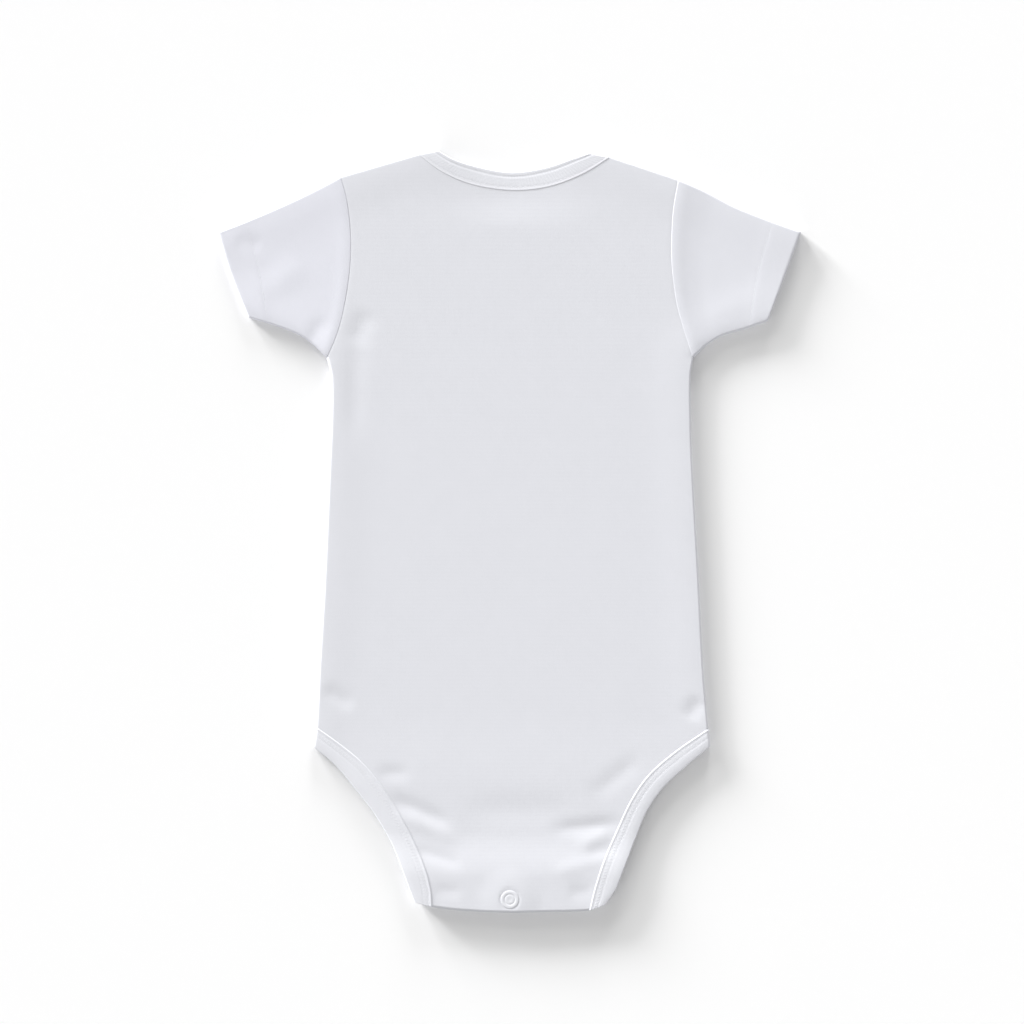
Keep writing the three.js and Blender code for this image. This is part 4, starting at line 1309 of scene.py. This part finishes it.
def thread_material():
    """Spun polyester: a little glossier than the cloth, with its twist."""
    shader = Shader("thread")
    spot = shader.node("ShaderNodeTexCoord").outputs["Object"]
    twist = shader.node("ShaderNodeTexWave", None, Vector=spot, Scale=900.0, Distortion=1.5)
    shader.bump(twist.outputs["Fac"], 0.03 * MM)
    tone = shader.noise(spot, 400.0)
    mixed = shader.between(tone, shade(THREAD_COLOUR, 0.97), shade(THREAD_COLOUR, 1.02))
    shader.fill(shader.out.inputs["Base Color"], mixed)
    shader.fill(shader.out.inputs["Roughness"], shader.between(tone, 0.5, 0.66))
    return shader.material


def snap_material():
    """Moulded resin with a soft gloss and faint handling marks."""
    shader = Shader("snap")
    spot = shader.node("ShaderNodeTexCoord").outputs["Object"]
    marks = shader.noise(spot, 1800.0, 5.0)
    cloudy = shader.noise(spot, 500.0, 2.0)
    shader.bump(marks, 0.01 * MM)
    mixed = shader.between(cloudy, shade(SNAP_COLOUR, 0.985), shade(SNAP_COLOUR, 1.01))
    shader.fill(shader.out.inputs["Base Color"], mixed)
    shader.fill(shader.out.inputs["Roughness"], shader.between(marks, 0.34, 0.52))
    return shader.material


BODY_COLOUR = (0.755, 0.762, 0.803)
# Sleeve colours with painted light: the body's cloth, the left sleeve lighter and bluer as if lit more,
# the right one a shade darker
SLEEVE_PAINTED_LIGHT_COLOURS = {"left": (0.77, 0.775, 0.835), "right": (0.75, 0.757, 0.803)}
RIB_COLOUR = (0.785, 0.792, 0.832)
THREAD_COLOUR = (0.82, 0.826, 0.86)
SNAP_COLOUR = (0.8, 0.807, 0.845)

jersey = cloth_material("jersey", BODY_COLOUR)
rib = cloth_material("rib", RIB_COLOUR, grain=True)
thread = thread_material()
resin = snap_material()


def finish(piece, material, slot, *nodes):
    """A piece's body, the nodes that it stands for and its material. The slot is not used."""
    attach(piece, "root")
    if nodes:
        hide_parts(*nodes)
    piece.data.materials.append(material)


finish(back_cloth, jersey, "jersey", "back_panel")
finish(front_cloth, jersey, "jersey", "front_panel")
finish(back_neck, rib, "rib", "neck_binding_back")
finish(front_neck_binding, rib, "rib", "neck_binding_front")
for side, (sleeve, _), (leg, _) in zip(SIDES, sleeves, legs):
    cuff = side["top"].points[-1] - side["under"].points[-1]
    turn = math.atan2(cuff[1], cuff[0])
    # Each sleeve's knit is turned along its cuff and carries its colour with painted light
    knit = cloth_material(f"jersey_{side['name']}", SLEEVE_PAINTED_LIGHT_COLOURS[side["name"]], -turn)
    finish(sleeve, knit, "jersey", f"sleeve_{side['name']}")
    finish(leg, rib, "rib", f"leg_binding_{side['name']}")
for piece in (*leg_stitches, *neck_stitches, *hem_stitches):
    finish(piece, thread, "rib")
for node, piece in SNAP_PARTS.items():
    finish(piece, resin, "snap", node)

scene = bpy.context.scene
camera_data = bpy.data.cameras.new("camera")
camera = bpy.data.objects.new("camera", camera_data)
scene.collection.objects.link(camera)
camera_data.sensor_width = 36
camera_data.lens = 36 * 4 / 0.5376
camera.location = (0.00118, 0.00984, 4)
camera_data.clip_end = 20
scene.camera = camera

world = bpy.data.worlds.new("world")
scene.world = world
world.use_nodes = True
world.node_tree.nodes["Background"].inputs["Color"].default_value = (1, 1, 1, 1)
world.node_tree.nodes["Background"].inputs["Strength"].default_value = 0.428
scene.view_settings.view_transform = "Standard"

floor_mesh = bpy.data.meshes.new("floor")
floor_mesh.from_pydata([(-3, -3, 0), (3, -3, 0), (3, 3, 0), (-3, 3, 0)], [], [(0, 1, 2, 3)])
floor = bpy.data.objects.new("floor", floor_mesh)
floor_paper = bpy.data.materials.new("floor")
floor_paper.use_nodes = True
floor_shader = floor_paper.node_tree.nodes["Principled BSDF"]
floor_shader.inputs["Base Color"].default_value = (0.98, 0.98, 0.98, 1)
floor_shader.inputs["Roughness"].default_value = 1
floor_mesh.materials.append(floor_paper)
scene.collection.objects.link(floor)

LIGHTS = {
    "left": {"elevation": 9.5, "azimuth": 138, "softness": 12, "strength": 3.6},
    "corner": {"elevation": 10, "azimuth": 122, "softness": 12, "strength": 2.0},
    "top": {"elevation": 11, "azimuth": 84, "softness": 16, "strength": 1.5},
    "high": {"elevation": 24, "azimuth": 130, "softness": 20, "strength": 0.7},
    "fill_right": {"elevation": 20, "azimuth": 355, "softness": 45, "strength": 0.18},
    "fill_corner": {"elevation": 20, "azimuth": 315, "softness": 45, "strength": 0.18},
    "fill_front": {"elevation": 16, "azimuth": 235, "softness": 40, "strength": 0.7},
}
for name, light in LIGHTS.items():
    lamp_data = bpy.data.lights.new(name, "SUN")
    lamp_data.energy = light["strength"]
    lamp_data.angle = math.radians(light["softness"])
    lamp = bpy.data.objects.new(name, lamp_data)
    turn, lift = math.radians(light["azimuth"]), math.radians(light["elevation"])
    level = math.cos(lift)
    towards = Vector((level * math.cos(turn), level * math.sin(turn), math.sin(lift)))
    lamp.rotation_euler = towards.to_track_quat("Z", "Y").to_euler()
    scene.collection.objects.link(lamp)
